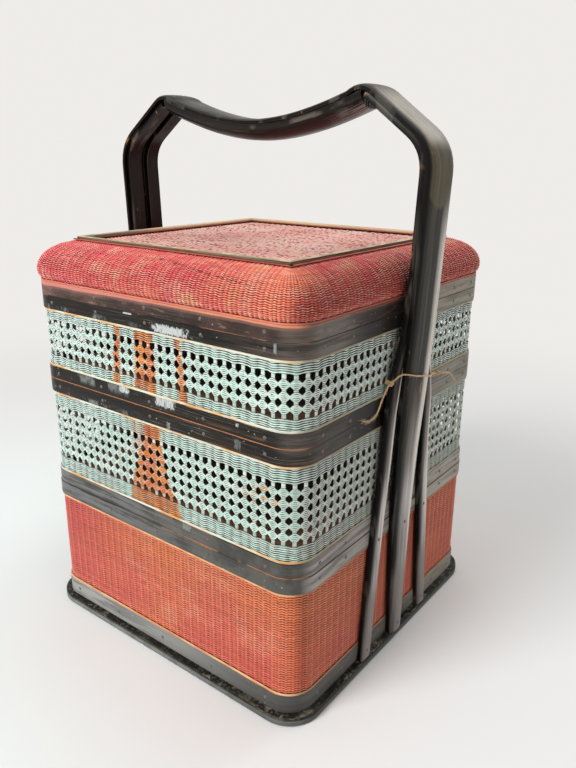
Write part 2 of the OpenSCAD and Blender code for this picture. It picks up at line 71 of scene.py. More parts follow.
# Sizes that belong to the way it is made
CORNER = 24 * MM
CROWN_CORNER = 2.5 * MM
PLINTH_CORNER = CORNER + 6 * MM
PLINTH_DEPTH = 20 * MM
BAND_DEPTH = 2.8 * MM
HOOP_OUT = 3.7 * MM
HOOP_IN = 6.7 * MM
LIP = 5 * MM
CANE_TALL = 2 * MM
STRAND_PITCH = 1.8 * MM
WALL_PITCH = 2.25 * MM
DOME_PITCH = 1.75 * MM
STRAND_R = 0.98 * MM
WALL_STRAND_R = 1.2 * MM
DOME_STRAND_R = 0.9 * MM
STRAND_SWAY = 0.42 * MM
SPLIT_R = 0.92 * MM
SPLIT_DEEP = 0.5 * MM
HOLE_PITCH = 9 * MM
STAKE_SECTION = (3.3 * MM, 1 * MM)
NAIL_R = 1.6 * MM
MITRE_GAP = 0.08 * MM
# From the outermost row of holes to the close rows, and from the outer edge of a cane to the weave
HOLE_ROOM = 2.9 * MM
WALL_EDGE = 1.4 * MM
# How far the twill lies below the top of its panel
TWILL_DOWN = 0.75 * MM
# The height from which the outside of the handle turns upward, and the rise over which it does
TURN_FROM = 410 * MM
TURN_OVER = 60 * MM
# Edges of the handle with a wider angle than this stay sharp
SHARP_ANGLE = math.radians(35)

# The stack from the foot up: the body that carries each part, and the part's half width
STACK = {"bottom": ("base_frame", HALF_FIXED), "middle": ("middle_tray", HALF_TRAY),
         "upper": ("upper_tray", HALF_TRAY), "lid": ("lid", HALF_TRAY)}
TRAYS = ("bottom", "middle", "upper")
HOOPED = [f"{tray}_{end}" for tray in TRAYS for end in ("foot", "rim")] + ["lid"]


def stack_place(node):
    """The body and the half width that belong to a node of the stack, by the first word of its name."""
    return STACK[node.split("_")[0]]


# ---------------- camera and twine

# The camera's turn, height and roll in degrees
CAMERA_ANGLES = (37.37, 18.38, -0.43)
CAMERA_AIM = Vector((16.5, 12.6, 218.45)) * MM
CAMERA_AWAY = 681.9 * MM
LENS = 32.749


def make_camera():
    data = bpy.data.cameras.new("camera")
    data.sensor_fit = "AUTO"
    data.sensor_width = 36
    data.lens = LENS
    azimuth, elevation, roll = (math.radians(angle) for angle in CAMERA_ANGLES)
    back = Vector((math.sin(azimuth) * math.cos(elevation),
                   -math.cos(azimuth) * math.cos(elevation), math.sin(elevation)))
    camera = bpy.data.objects.new("camera", data)
    bpy.context.scene.collection.objects.link(camera)
    level = (-back).to_track_quat("-Z", "Y").to_matrix()
    camera.matrix_world = Matrix.Translation(CAMERA_AIM + back * CAMERA_AWAY) @ (
        level @ Matrix.Rotation(-roll, 3, "Z")).to_4x4()
    data.clip_start = 0.01
    bpy.context.scene.camera = camera


def smooth_line(points, steps):
    """A smooth line through the points, with this many steps between each two."""
    line = []
    for i in range(len(points) - 1):
        a, b, c, d = (points[min(max(i + k, 0), len(points) - 1)] for k in (-1, 0, 1, 2))
        for s in range(steps):
            t = s / steps
            line.append(0.5 * (2 * b + (c - a) * t + (2 * a - 5 * b + 4 * c - d) * t * t
                               + (3 * b - a - 3 * c + d) * t ** 3))
    return line + [points[-1]]


def length_of(line):
    return sum((b - a).length for a, b in zip(line, line[1:]))


def mesh_piece(name, mesh, body, *nodes):
    """A finished mesh as a piece on a body, standing for its CAD nodes."""
    mesh.name = name
    piece = bpy.data.objects.new(name, mesh)
    bpy.context.scene.collection.objects.link(piece)
    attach(piece, body)
    if nodes:
        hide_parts(*nodes)
    return piece


def tubes_mesh(lines, radius, sides=4, closed=False, radii=None, deep=None, leans=None):
    """One mesh of strands along the lines: round ones, or split ones that are only so deep."""
    curve = bpy.data.curves.new("tubes", "CURVE")
    curve.dimensions = "3D"
    curve.twist_mode = "Z_UP"
    section = None
    if deep:
        section = bpy.data.objects.new("section", bpy.data.curves.new("section", "CURVE"))
        edge = section.data.splines.new("POLY")
        edge.points.add(3)
        for point, place in zip(edge.points, ((0, radius), (deep, 0), (0, -radius), (-deep, 0))):
            point.co = (*place, 0, 1)
        edge.use_cyclic_u = True
        curve.bevel_mode = "OBJECT"
        curve.bevel_object = section
    else:
        curve.bevel_depth = radius
        curve.bevel_resolution = sides // 2 - 2
    curve.use_fill_caps = not closed
    for n, line in enumerate(lines):
        spline = curve.splines.new("POLY")
        spline.points.add(len(line) - 1)
        for i, (point, place) in enumerate(zip(spline.points, line)):
            point.co = (*place, 1)
            point.radius = radii[n][i] if radii else 1
            point.tilt = -leans[n] if leans else 0
        spline.use_cyclic_u = closed
    holder = bpy.data.objects.new("tubes", curve)
    bpy.context.scene.collection.objects.link(holder)
    if section:
        bpy.context.scene.collection.objects.link(section)
    bpy.context.view_layer.update()
    settled = holder.evaluated_get(bpy.context.evaluated_depsgraph_get())
    mesh = bpy.data.meshes.new_from_object(settled)
    bpy.data.objects.remove(holder)
    bpy.data.curves.remove(curve)
    if section:
        bpy.data.curves.remove(section.data)
    mesh.polygons.foreach_set("use_smooth", [True] * len(mesh.polygons))
    return mesh


def point_values(mesh, name, values):
    mesh.attributes.new(name, "FLOAT", "POINT").data.foreach_set("value", values)


# The twine's route, in millimetres from the middle of the +X face at the height of the tie
TWINE_D = 1.5 * MM
TWIST_PITCH = 5.2 * MM
PLY_R = 0.42 * MM
PLY_LAY = 0.34 * MM
TIE = Vector((HALF_FIXED, 0, low("upper_foot_band").z + 26 * MM))
CLEAR_OF_WALL = HALF_FIXED + 4 * MM
TWINE_POINTS = [
    (11, -86, -17), (11.8, -80, -19), (12, -74, -19.4), (11.6, -68, -18.6), (11, -63, -15.5),
    (10.4, -58, -10.5), (10, -54, -6.5), (9.6, -50, -3), (9.2, -46, -0.8), (9, -42, 0.4), (9, -38, 1.2),
    (9.1, -34, 2.2), (9.3, -29, 3.2), (10, -25, 3.8), (12.6, -21.5, 3.4), (14.6, -16, 1.8), (15.2, -10, 0),
    (15.2, -4, -1.4), (15.2, 2, -2.8), (15, 8, -4.4), (14.6, 14, -6), (13.4, 19.5, -7.6), (11, 24, -8.6),
    (9.2, 29, -9.6), (8.8, 34, -10.4), (8.4, 38, -10.8), (8.2, 42, -11.2), (8, 46, -11.6), (7.4, 50, -12.2),
    (5.6, 52.4, -13), (3.4, 52, -13.6), (2, 48.6, -13.8), (1.2, 44, -13.4), (0.8, 38, -12.8),
    (0.8, 32, -12), (0.8, 26, -11), (0.8, 18, -9.6), (0.8, 10, -8.2), (0.8, 2, -6.8), (0.8, -6, -5.4),
    (0.8, -14, -4), (0.8, -22, -2.6), (0.8, -29, -1.6), (1.2, -33.6, -1.2), (2, -37.2, -0.8),
    (3.4, -40, -0.4), (5, -41.6, 0.1), (7.2, -42, 0.4)]
TWINE_END_POINTS = [
    (9.8, 42.2, -11.2), (12.2, 43.6, -11.2), (12.8, 47, -11.6), (12.8, 51, -12.2),
    (12.6, 56, -13.6), (12.4, 61, -16.2), (12.2, 66, -19.8), (12, 70.5, -24.4)]
FRONT_KNOT, BACK_KNOT = 9, 26
KNOT_STEPS = 24


def at_tie(point):
    return TIE + Vector(point) * MM


def side_frame(line, i):
    """Two directions across a line at point i."""
    along = (line[min(i + 1, len(line) - 1)] - line[max(i - 1, 0)]).normalized()
    rough = Vector((1, 0, 0)) if abs(along.z) > 0.9 else Vector((0, 0, 1))
    across = along.cross(rough).normalized()
    return across, along.cross(across)


def plied(line, start=0.0):
    """The lines of the two plies that twist round a line."""
    twisted = [[], []]
    run = 0
    for i, place in enumerate(line):
        if i:
            run += (place - line[i - 1]).length
        u, v = side_frame(line, i)
        for k in range(2):
            turn = start + 2 * math.pi * (run / TWIST_PITCH + k / 2)
            twisted[k].append(place + PLY_LAY * (math.cos(turn) * u + math.sin(turn) * v))
    return twisted


def knot_lines(p, q, seed):
    """Two turns of twine round the standing part, which runs from p towards q."""
    along = (q - p).normalized()
    u = along.cross(Vector((0, 0, 1))).normalized()
    v = along.cross(u)
    lines = []
    for k in (-1, 1):
        turns = []
        for i in range(KNOT_STEPS + 1):
            turn = 2 * math.pi * i / KNOT_STEPS
            sway = 0.25 * math.sin(turn * 2 + seed + k)
            turns.append(p + TWINE_D * ((math.cos(turn) * u + math.sin(turn) * v)
                                        + along * (0.55 * k + sway)))
        lines.append(turns)
    return lines


def twine_length(name, node, line, thinning):
    """A length of twine whose end is frayed over the last points of its line."""
    fray = [max(0.35, min(1.0, (len(line) - i) / thinning)) for i in range(len(line))]
    return mesh_piece(name, tubes_mesh(plied(line), PLY_R, 8, radii=[fray, fray]), "base_frame", node)


def make_twine():
    route = [at_tie(p) for p in TWINE_POINTS]
    line = smooth_line(route, 10)[::-1]
    tail = smooth_line([at_tie(p) for p in TWINE_END_POINTS], 10)
    twine = twine_length("twine_cord", "twine", line, 30)
    end = twine_length("twine_tail", "twine_end", tail, 26)
    turns = []
    for at, seed in ((FRONT_KNOT, 0.4), (BACK_KNOT, 2.1)):
        turns += knot_lines(route[at], route[at + 1], seed)
    knot_plies = [ply for n, turn in enumerate(turns) for ply in plied(turn, start=n)]
    knots = mesh_piece("twine_turns", tubes_mesh(knot_plies, PLY_R, 8), "base_frame", "twine_knots")
    hairs = mesh_piece("twine_hairs", tubes_mesh(hair_lines(line, 150, 3) + hair_lines(tail, 46, 8),
                                                 0.06 * MM, 4), "base_frame")
    length_of(line)
    line[::4] + [line[-1]]
    length_of(tail)
    tail[::4] + [tail[-1]]
    return [twine, end, knots, hairs]


def hair_lines(line, count, seed):
    """Loose fibres that stand off the twine, more of them at its cut end and none near the wall."""
    hairs = []
    for n in range(count):
        pick = noise.cell(Vector((n * 1.7 + seed, 3.1, 0.4)))
        share = abs(pick) % 1
        along_line = share ** 0.55 if n % 3 else 0.93 + 0.07 * share
        i = min(int(along_line * (len(line) - 1)), len(line) - 2)
        if line[i].x < CLEAR_OF_WALL:
            continue
        u, v = side_frame(line, i)
        turn = 2.4 * n + seed
        out = math.cos(turn) * u + math.sin(turn) * v
        along = (line[i + 1] - line[i]).normalized()
        reach = (1.0 + 1.3 * (abs(noise.cell(Vector((n * 2.3, seed, 1.9)))) % 1)) * MM
        foot = line[i] + out * 0.5 * MM
        hairs.append([foot, foot + (out + along) * reach * 0.6,
                      foot + (out * 0.7 + along * 1.8) * reach])
    return hairs


# ---------------- hoops, bands and canes

def soften(bm, edges, offset, steps, clamp=False):
    """Rounds the given edges of a part."""
    bmesh.ops.bevel(bm, geom=edges, offset=offset, offset_type="OFFSET", affect="EDGES",
                    segments=steps, profile=0.5, material=-1, clamp_overlap=clamp)


def square_face(bm, half, r, steps=10):
    """One flat face: a square of half width half whose corners are arcs of radius r."""
    bmesh.ops.create_grid(bm, x_segments=1, y_segments=1, size=half)
    bmesh.ops.bevel(bm, geom=bm.verts[:], offset=r, offset_type="OFFSET", affect="VERTICES",
                    segments=steps, profile=0.5, material=-1)
    return next(iter(bm.faces))


def add_ring(bm, half, out, inside, z0, z1, ease, r=CORNER, steps=10):
    """A hoop between two depths into the wall, from z0 to z1, with eased edges. Each point keeps how
    far it stands above the foot and below the head of the hoop."""
    part = bmesh.new()
    middle = square_face(part, half - out, r - out, steps)
    bmesh.ops.inset_region(part, faces=[middle], thickness=inside - out, use_even_offset=True,
                           use_boundary=True)
    bmesh.ops.delete(part, geom=[middle], context="FACES")
    grown = bmesh.ops.extrude_face_region(part, geom=part.faces[:])
    raised = [v for v in grown["geom"] if isinstance(v, bmesh.types.BMVert)]
    bmesh.ops.translate(part, vec=(0, 0, z1 - z0), verts=raised)
    bmesh.ops.translate(part, vec=(0, 0, z0), verts=part.verts[:])
    bmesh.ops.recalc_face_normals(part, faces=part.faces[:])
    soften(part, [e for e in part.edges if e.calc_face_angle(0) > 1], ease, 3, clamp=True)
    foot = part.verts.layers.float.new("foot")
    head = part.verts.layers.float.new("head")
    for v in part.verts:
        v[foot], v[head] = v.co.z - z0, z1 - v.co.z
    pour(part, bm)


def pour(part, bm):
    """Moves a finished part into the mesh that gathers a piece."""
    for layer in ("foot", "head"):
        if layer not in bm.verts.layers.float:
            bm.verts.layers.float.new(layer)
        if layer not in part.verts.layers.float:
            part.verts.layers.float.new(layer)
    holder = bpy.data.meshes.new("part")
    part.to_mesh(holder)
    part.free()
    bm.from_mesh(holder)
    bpy.data.meshes.remove(holder)


def finish_mesh(bm, name, body, *nodes, weighted=True):
    """The gathered mesh as a smooth shaded piece whose flat faces stay flat."""
    mesh = bpy.data.meshes.new(name)
    for face in bm.faces:
        face.smooth = True
    bm.to_mesh(mesh)
    bm.free()
    piece = mesh_piece(name, mesh, body, *nodes)
    if weighted:
        piece.modifiers.new("flat faces", "WEIGHTED_NORMAL").keep_sharp = True
    return piece


def ring_piece(node, out, inside, *levels, ease):
    """Hoops of one depth at one or more levels, in place of their CAD node."""
    body, half = stack_place(node)
    bm = bmesh.new()
    for z0, z1 in levels:
        add_ring(bm, half, out, inside, z0, z1, ease=ease)
    return finish_mesh(bm, node + "_made", body, node)


def make_bands():
    return [ring_piece(f"{row}_band", 0, BAND_DEPTH, levels_of(f"{row}_band"), ease=0.45 * MM)
            for row in HOOPED]


def make_canes():
    """The split canes that run along the top and the foot of each woven wall."""
    pieces = []
    for tray in TRAYS:
        z0, z1 = levels_of(f"{tray}_canes")
        pieces.append(ring_piece(f"{tray}_canes", CANE_FACE, CANE_FACE + 1 * MM,
                                 (z0, z0 + CANE_TALL), (z1 - CANE_TALL, z1), ease=0.48 * MM))
    lid_cane = ring_piece("lid_cane", 0, BAND_DEPTH - 0.12 * MM, levels_of("lid_cane"), ease=0.8 * MM)
    return pieces + [lid_cane]


def make_hoops():
    """The inner hoops; a rim hoop stands up as a locating lip, and the lip is set in a little."""
    pieces = []
    for row in HOOPED:
        node = f"{row}_hoop"
        body, half = stack_place(node)
        z0, z1 = levels_of(node)
        bm = bmesh.new()
        if row.endswith("rim"):
            shoulder = z1 - LIP
            step = HOOP_OUT + 0.4 * MM + half - HALF_TRAY
            add_ring(bm, half, HOOP_OUT, HOOP_IN, z0, shoulder, ease=0.3 * MM)
            add_ring(bm, half, step, HOOP_IN, shoulder - 1 * MM, z1, ease=0.5 * MM)
        else:
            add_ring(bm, half, HOOP_OUT, HOOP_IN, z0, z1, ease=0.4 * MM)
        pieces.append(finish_mesh(bm, node + "_made", body, node))
    return pieces


def make_plinth():
    """The plinth moulding: a round lower bead and a thinner upper one with a groove between."""
    z0, z1 = levels_of("plinth")
    groove = z0 + 0.6 * (z1 - z0)
    bm = bmesh.new()
    for out, foot, head, ease in ((0, z0, groove, 1.3 * MM),
                                  (1 * MM, groove - 0.2 * MM, groove + 1.1 * MM, 0.3 * MM),
                                  (0.2 * MM, groove + 0.9 * MM, z1, 0.9 * MM)):
        add_ring(bm, HALF_PLINTH, out, PLINTH_DEPTH, foot, head, r=PLINTH_CORNER, ease=ease)
    return finish_mesh(bm, "plinth_made", "base_frame", "plinth")


# ---------------- woven walls

class Layout:
    """How many stakes stand on a side and on a corner, and where a strand's points lie: for each
    point, how far between two stakes and how far over the stake it stands."""

    def __init__(self, side, corner, *crossings):
        self.side, self.corner, self.crossings = side, corner, crossings
        self.stakes = 4 * (side + corner)


BROAD = Layout(28, 4, (-0.13, 1), (0.13, 1), (0.5, 0))
FINE = Layout(56, 12, (0, 1), (0.5, 0))
# The step between stakes on a corner from which a strand has room for its full swell
ROOMY_STEP = 3 * MM


def outline_place(half, r, column, layout=BROAD):
    """Place and outward direction at a column, counted from the left end of the front face."""
    side, along = divmod(column % layout.stakes, layout.side + layout.corner)
    flat = half - r
    if along < layout.side:
        place = Vector(((2 * along / layout.side - 1) * flat, -half, 0))
        out = Vector((0, -1, 0))
    else:
        turn = (along - layout.side) / layout.corner * math.pi / 2
        out = Vector((math.sin(turn), -math.cos(turn), 0))
        place = Vector((flat, -flat, 0)) + out * r
    spin = Matrix.Rotation(side * math.pi / 2, 3, "Z")
    return spin @ place, spin @ out


def strand_line(half, r, height, lean=None, pinch=0.0, stagger=STRAND_PITCH / 4, sway_out=0.3 * MM,
                layout=BROAD):
    """A strand that swells over every stake and tucks in between, half a row up and half a row down;
    on a tight corner it runs straighter."""
    line = []
    tight = min(1.0, r * math.pi / 2 / layout.corner / ROOMY_STEP)
    for stake in range(layout.stakes):
        ease = tight if stake % (layout.side + layout.corner) >= layout.side else 1.0
        for step, over in layout.crossings:
            place, out = outline_place(half, r, stake + step, layout)
            up = Vector((0, 0, 1))
            if lean:
                out, up = (out * math.cos(lean) + up * math.sin(lean),
                           up * math.cos(lean) - out * math.sin(lean))
            sway = noise.noise(place * 60 + Vector((0, 0, height * 700))) * 0.16 * MM
            rise = (stagger if stake % 2 else -stagger) * ease if over > 0.5 else pinch
            line.append(place + Vector((0, 0, height)) + up * (rise + sway)
                        + out * (sway_out * (2 * over - 1) * ease + sway))
    return line


def woven_piece(name, body, lines, node, radius, deep, leans=None, layout=BROAD, waist=0.75):
    """Strands as closed tubes that narrow to a waist between stakes, with how far each point stands
    out, which points touch the rows beside it, and a number for each strand."""
    widths = [1 if over > 0.5 else waist for _, over in layout.crossings] * layout.stakes
    mesh = tubes_mesh(lines, radius, 4, closed=True, deep=deep, leans=leans, radii=[widths] * len(lines))
    # Every second stake is marked a little lower, so that the painted highlight over the crests falls on
    # alternate stakes
    two_stakes = [over * (1 - 0.08 * odd) for odd in (0, 1) for _, over in layout.crossings
                  for _ in range(4)]
    point_values(mesh, "swell", two_stakes * (layout.stakes // 2 * len(lines)))
    point_values(mesh, "seam", [1, 0] * (len(mesh.vertices) // 2))
    tints = [abs(noise.cell(Vector((n * 1.37, 5.2, 0.3)))) % 1 for n in range(len(lines))]
    point_values(mesh, "tint", [tint for tint in tints for _ in range(4 * len(lines[0]))])
    return mesh_piece(name, mesh, body, node)


def rows_between(z0, z1, pitch=STRAND_PITCH):
    """The heights of evenly spaced rows, as near to the pitch as they fit."""
    count = max(1, round((z1 - z0) / pitch))
    step = (z1 - z0) / count
    return [z0 + (i + 0.5) * step for i in range(count)]


def make_bottom_weave():
    half = HALF_FIXED - WEAVE_FACE - STRAND_R - STRAND_SWAY + 0.2 * MM
    r = CORNER - (HALF_FIXED - half)
    z0, z1 = levels_of("bottom_canes")
    lines = [strand_line(half, r, z, stagger=0.5 * MM, layout=FINE)
             for z in rows_between(z0 + WALL_EDGE, z1 - WALL_EDGE, WALL_PITCH)]
    return woven_piece("bottom_wicker", "base_frame", lines, "bottom_weave", WALL_STRAND_R, STRAND_R,
                       layout=FINE, waist=0.88)


def make_stakes(tray, body, half, r, middle, tall):
    """The flat stakes that stand behind the strands of an openwork wall."""
    bm = bmesh.new()
    for stake in range(BROAD.stakes):
        place, out = outline_place(half, r, stake)
        turn = Matrix.Rotation(math.atan2(out.x, -out.y), 4, "Z")
        size = Matrix.Diagonal((*STAKE_SECTION, tall, 1))
        stand = Matrix.Translation(place + Vector((0, 0, middle)))
        bmesh.ops.create_cube(bm, size=1, matrix=stand @ turn @ size)
    upright = [e for e in bm.edges if abs((e.verts[0].co - e.verts[1].co).z) > 10 * MM]
    soften(bm, upright, 0.5 * MM, 2)
    return finish_mesh(bm, f"{tray}_stakes", body, weighted=False)


def make_openwork(tray, hole_rows):
    """Close rows above and below, and between the rows of holes strands that draw together in each gap."""
    body, half_tray = STACK[tray]
    half = half_tray - WEAVE_FACE - SPLIT_DEEP - 0.3 * MM
    r = CORNER - (half_tray - half)
    z0, z1 = levels_of(f"{tray}_canes")
    middle = (z0 + z1) / 2
    first = middle - (hole_rows - 1) / 2 * HOLE_PITCH
    last = middle + (hole_rows - 1) / 2 * HOLE_PITCH
    rows = (rows_between(z0 + WALL_EDGE, first - HOLE_ROOM)
            + rows_between(last + HOLE_ROOM, z1 - WALL_EDGE))
    lines = [strand_line(half, r, z) for z in rows]
    for gap in range(hole_rows - 1):
        centre = first + (gap + 0.5) * HOLE_PITCH
        for k in range(-2, 3):
            spread = k * 1.55 * MM
            lines.append(strand_line(half, r, centre + spread, pinch=-0.8 * spread, stagger=0.15 * MM,
                                     sway_out=0.14 * MM))
    wicker = woven_piece(f"{tray}_wicker", body, lines, f"{tray}_weave", SPLIT_R, SPLIT_DEEP)
    behind = 0.5 * MM
    stakes = make_stakes(tray, body, half - behind, r - behind, middle, z1 - z0 + 6 * MM)
    return wicker, stakes


# The outside of the dome as depth in from the side of the tray, in millimetres, and share of the
# dome's height; from the shoulder on, the depth runs in to the half width of the crown
DOME_PROFILE = [(0.6, 0.05), (-1.6, 0.14), (-2.4, 0.27), (-1.6, 0.43), (1.4, 0.6), (6.5, 0.75),
                (13.5, 0.87), (22, 0.95), (31, 1)]
DOME_IN = DOME_PROFILE[-1][0]
SHOULDER_IN = 3.7


def dome_half(depth):
    """Half width of the dome where its face is this far in, in metres."""
    if depth <= SHOULDER_IN:
        return HALF_TRAY - depth * MM
    share = (depth - SHOULDER_IN) / (DOME_IN - SHOULDER_IN)
    return (HALF_TRAY - SHOULDER_IN * MM) * (1 - share) + HALF_CROWN * share


def make_dome():
    z0 = high("lid_band").z
    height = high("lid_weave").z - z0
    profile = smooth_line([Vector((dome_half(depth), z0 + share * height,
                                   max(CORNER - depth * 0.68 * MM, CROWN_CORNER)))
                           for depth, share in DOME_PROFILE], 8)
    total = sum((b - a).xy.length for a, b in zip(profile, profile[1:]))
    count = round(total / DOME_PITCH)
    sink = STRAND_R + STRAND_SWAY - 0.15 * MM
    lines, leans = [], []
    run, i = 0.0, 0
    for n in range(count):
        aim = (n + 0.4) / count * total
        while run + (profile[i + 1] - profile[i]).xy.length < aim and i < len(profile) - 2:
            run += (profile[i + 1] - profile[i]).xy.length
            i += 1
        a, b = profile[i], profile[i + 1]
        half, z, corner = a.lerp(b, (aim - run) / max((b - a).xy.length, 1e-9))
        tangent = (b - a).xy.normalized()
        lean = math.atan2(-tangent.x, tangent.y)
        inward = sink * math.cos(lean)
        lines.append(strand_line(half - inward, max(corner - inward, 1.6 * MM), z - sink * math.sin(lean),
                                 lean=lean, sway_out=0.34 * MM, stagger=0.42 * MM, layout=FINE))
        leans.append(lean)
    return woven_piece("lid_wicker", "lid", lines, "lid_weave", DOME_STRAND_R, STRAND_R, leans=leans,
                       layout=FINE, waist=0.85)


# ---------------- crown of the lid

def make_twill():
    """The twill panel: strands side by side that rise and dip, and sag a little towards the middle."""
    top = high("lid_panel")
    half = top.x
    across, deep = 150, 300
    bm = bmesh.new()
    bmesh.ops.create_grid(bm, x_segments=across, y_segments=deep, size=half)
    for v in bm.verts:
        i = round((v.co.x / half + 1) / 2 * across)
        j = round((v.co.y / half + 1) / 2 * deep)
        strand = j // 2
        slip = noise.noise(Vector((v.co.x * 20, strand * 0.9, 4.2))) * 1.6
        over = math.sin(math.pi * 2 * (i / 5 + strand * 0.37) + slip)
        rise = 0.42 * MM * over if j % 2 else -0.36 * MM
        edge = min(half - abs(v.co.x), half - abs(v.co.y))
        sag = noise.noise(v.co * 14) * 0.25 * MM - 0.2 * MM
        v.co.z = top.z - TWILL_DOWN + rise + sag * min(edge / (20 * MM), 1)
    return finish_mesh(bm, "lid_twill", "lid", "lid_panel", weighted=False)


def make_lining():
    """The underside of the panel."""
    bm = bmesh.new()
    square_face(bm, high("lid_panel").x, CROWN_CORNER, 4)
    bmesh.ops.reverse_faces(bm, faces=bm.faces[:])
    bmesh.ops.translate(bm, vec=(0, 0, low("lid_panel").z), verts=bm.verts[:])
    return finish_mesh(bm, "lid_lining", "lid", weighted=False)


def make_binding():
    """The flat dark red strip under the crown frame."""
    outer = high("lid_binding").x
    bm = bmesh.new()
    add_ring(bm, outer, 0, outer - HALF_CROWN + 5.5 * MM, *levels_of("lid_binding"), r=CROWN_CORNER,
             ease=0.25 * MM, steps=4)
    return finish_mesh(bm, "lid_binding_made", "lid", "lid_binding")


def make_crown_frame():
    """Four mitred strips, each of a wide outer bead and a lower inner one."""
    z0, z1 = levels_of("lid_frame")
    bm = bmesh.new()
    for side in range(4):
        spin = Matrix.Rotation(side * math.pi / 2, 3, "Z")
        for inset, width, tall in ((0, 3.1 * MM, 1.0), (3.3 * MM, 2.1 * MM, 0.86)):
            strip = bmesh.new()
            reach = HALF_CROWN - inset
            rise = (z1 - z0) * tall
            place = Matrix.Translation((0, -reach + width / 2, z0 + rise / 2))
            bmesh.ops.create_cube(strip, size=1, matrix=place @ Matrix.Diagonal((2 * reach, width, rise, 1)))
            along = [e for e in strip.edges if abs((e.verts[0].co - e.verts[1].co).x) > width
                     and e.verts[0].co.z > z0 + 0.5 * MM]
            soften(strip, along, 0.85 * MM, 4)
            for end in (-1, 1):
                cut = bmesh.ops.bisect_plane(strip, geom=strip.verts[:] + strip.edges[:] + strip.faces[:],
                                             plane_co=(end * (reach - MITRE_GAP), -reach, 0),
                                             plane_no=(end, 1, 0), clear_outer=True)
                rim = [e for e in cut["geom_cut"] if isinstance(e, bmesh.types.BMEdge)]
                bmesh.ops.holes_fill(strip, edges=rim)
            bmesh.ops.rotate(strip, cent=(0, 0, 0), matrix=spin, verts=strip.verts[:])
            pour(strip, bm)
    return finish_mesh(bm, "lid_frame_made", "lid", "lid_frame")


# ---------------- handle and nails

def joined(node):
    """A CAD node's mesh with its loose triangles joined."""
    bm = bmesh.new()
    bm.from_mesh(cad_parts[node].data)
    bmesh.ops.remove_doubles(bm, verts=bm.verts[:], dist=0.01 * MM)
    return bm


def merged_copy(node, name):
    """A CAD node of the handle as a joined mesh whose round faces are shaded smooth."""
    bm = joined(node)
    for edge in bm.edges:
        edge.smooth = len(edge.link_faces) == 2 and edge.calc_face_angle(0) < SHARP_ANGLE
    return finish_mesh(bm, name, "base_frame", node, weighted=False)


def mark_strip(piece):
    """Marks each point of a bent strip with how far across the strip it lies, from -1 at the front edge
    to 1 at the back edge, and with how far it faces outward: to the side on the legs and up on the
    grip, turning over between them."""
    mesh = piece.data
    slices = {}
    slice_of = [(v.co.x > 0, round(v.co.z / (10 * MM))) for v in mesh.vertices]
    for v, key in zip(mesh.vertices, slice_of):
        slices.setdefault(key, []).append(v.co.y)
    across, outward = [], []
    for v, key in zip(mesh.vertices, slice_of):
        front, back = min(slices[key]), max(slices[key])
        across.append((v.co.y - (back + front) / 2) / max((back - front) / 2, 1 * MM))
        turn = min(max((v.co.z - TURN_FROM) / TURN_OVER, 0), 1) * math.pi / 2
        outward.append(v.normal.dot(Vector((math.copysign(math.cos(turn), v.co.x), 0, math.sin(turn)))))
    point_values(mesh, "across", across)
    point_values(mesh, "outward", outward)


def make_handle():
    strip = merged_copy("handle_strip", "handle_broad_strip")
    grip = merged_copy("handle_grip", "handle_grip_strip")
    struts = [merged_copy(f"strut_{end}_{side}", f"strut_{end}_{side}_made")
              for end in ("front", "back") for side in ("right", "left")]
    for piece in (strip, grip, *struts):
        mark_strip(piece)
    return strip, grip, struts


def make_nails():
    """Domed nail heads, one piece for each CAD node of nails."""
    pieces = []
    for part in ("bottom", "strut", "middle", "upper", "lid"):
        node = f"{part}_nails"
        body = STACK[part][0] if part in STACK else "base_frame"
        source = joined(node)
        bm = bmesh.new()
        for place, out in island_places(source):
            turn = out.to_track_quat("Z", "Y").to_matrix().to_4x4()
            flatten = Matrix.Diagonal((1, 1, 0.46, 1))
            head = bmesh.ops.create_icosphere(bm, subdivisions=2, radius=NAIL_R,
                                              matrix=Matrix.Translation(place) @ turn @ flatten)
            buried = [v for v in head["verts"] if (v.co - place).dot(out) < -0.2 * MM]
            bmesh.ops.delete(bm, geom=buried, context="VERTS")
        source.free()
        pieces.append(finish_mesh(bm, node + "_made", body, node, weighted=False))
    return pieces


def island_places(source):
    """The foot and the outward direction of each nail head, found from its loose solid, in order of
    place."""
    left = set(source.verts)
    places = []
    while left:
        stack = [left.pop()]
        island = list(stack)
        while stack:
            for edge in stack.pop().link_edges:
                fresh = [v for v in edge.verts if v in left]
                left.difference_update(fresh)
                stack += fresh
                island += fresh
        size = [max(v.co[k] for v in island) - min(v.co[k] for v in island) for k in range(3)]
        axis = 0 if size[0] < size[1] else 1
        middle = Vector([math.fsum(v.co[k] for v in island) / len(island) for k in range(3)])
        out = Vector((0, 0, 0))
        out[axis] = 1 if middle[axis] > 0 else -1
        reach = min(v.co.dot(out) for v in island)
        places.append((middle - out * (middle.dot(out) - reach), out))
    return sorted(places, key=lambda row: [round(c, 5) for c in row[0]])


# ---------------- finishes

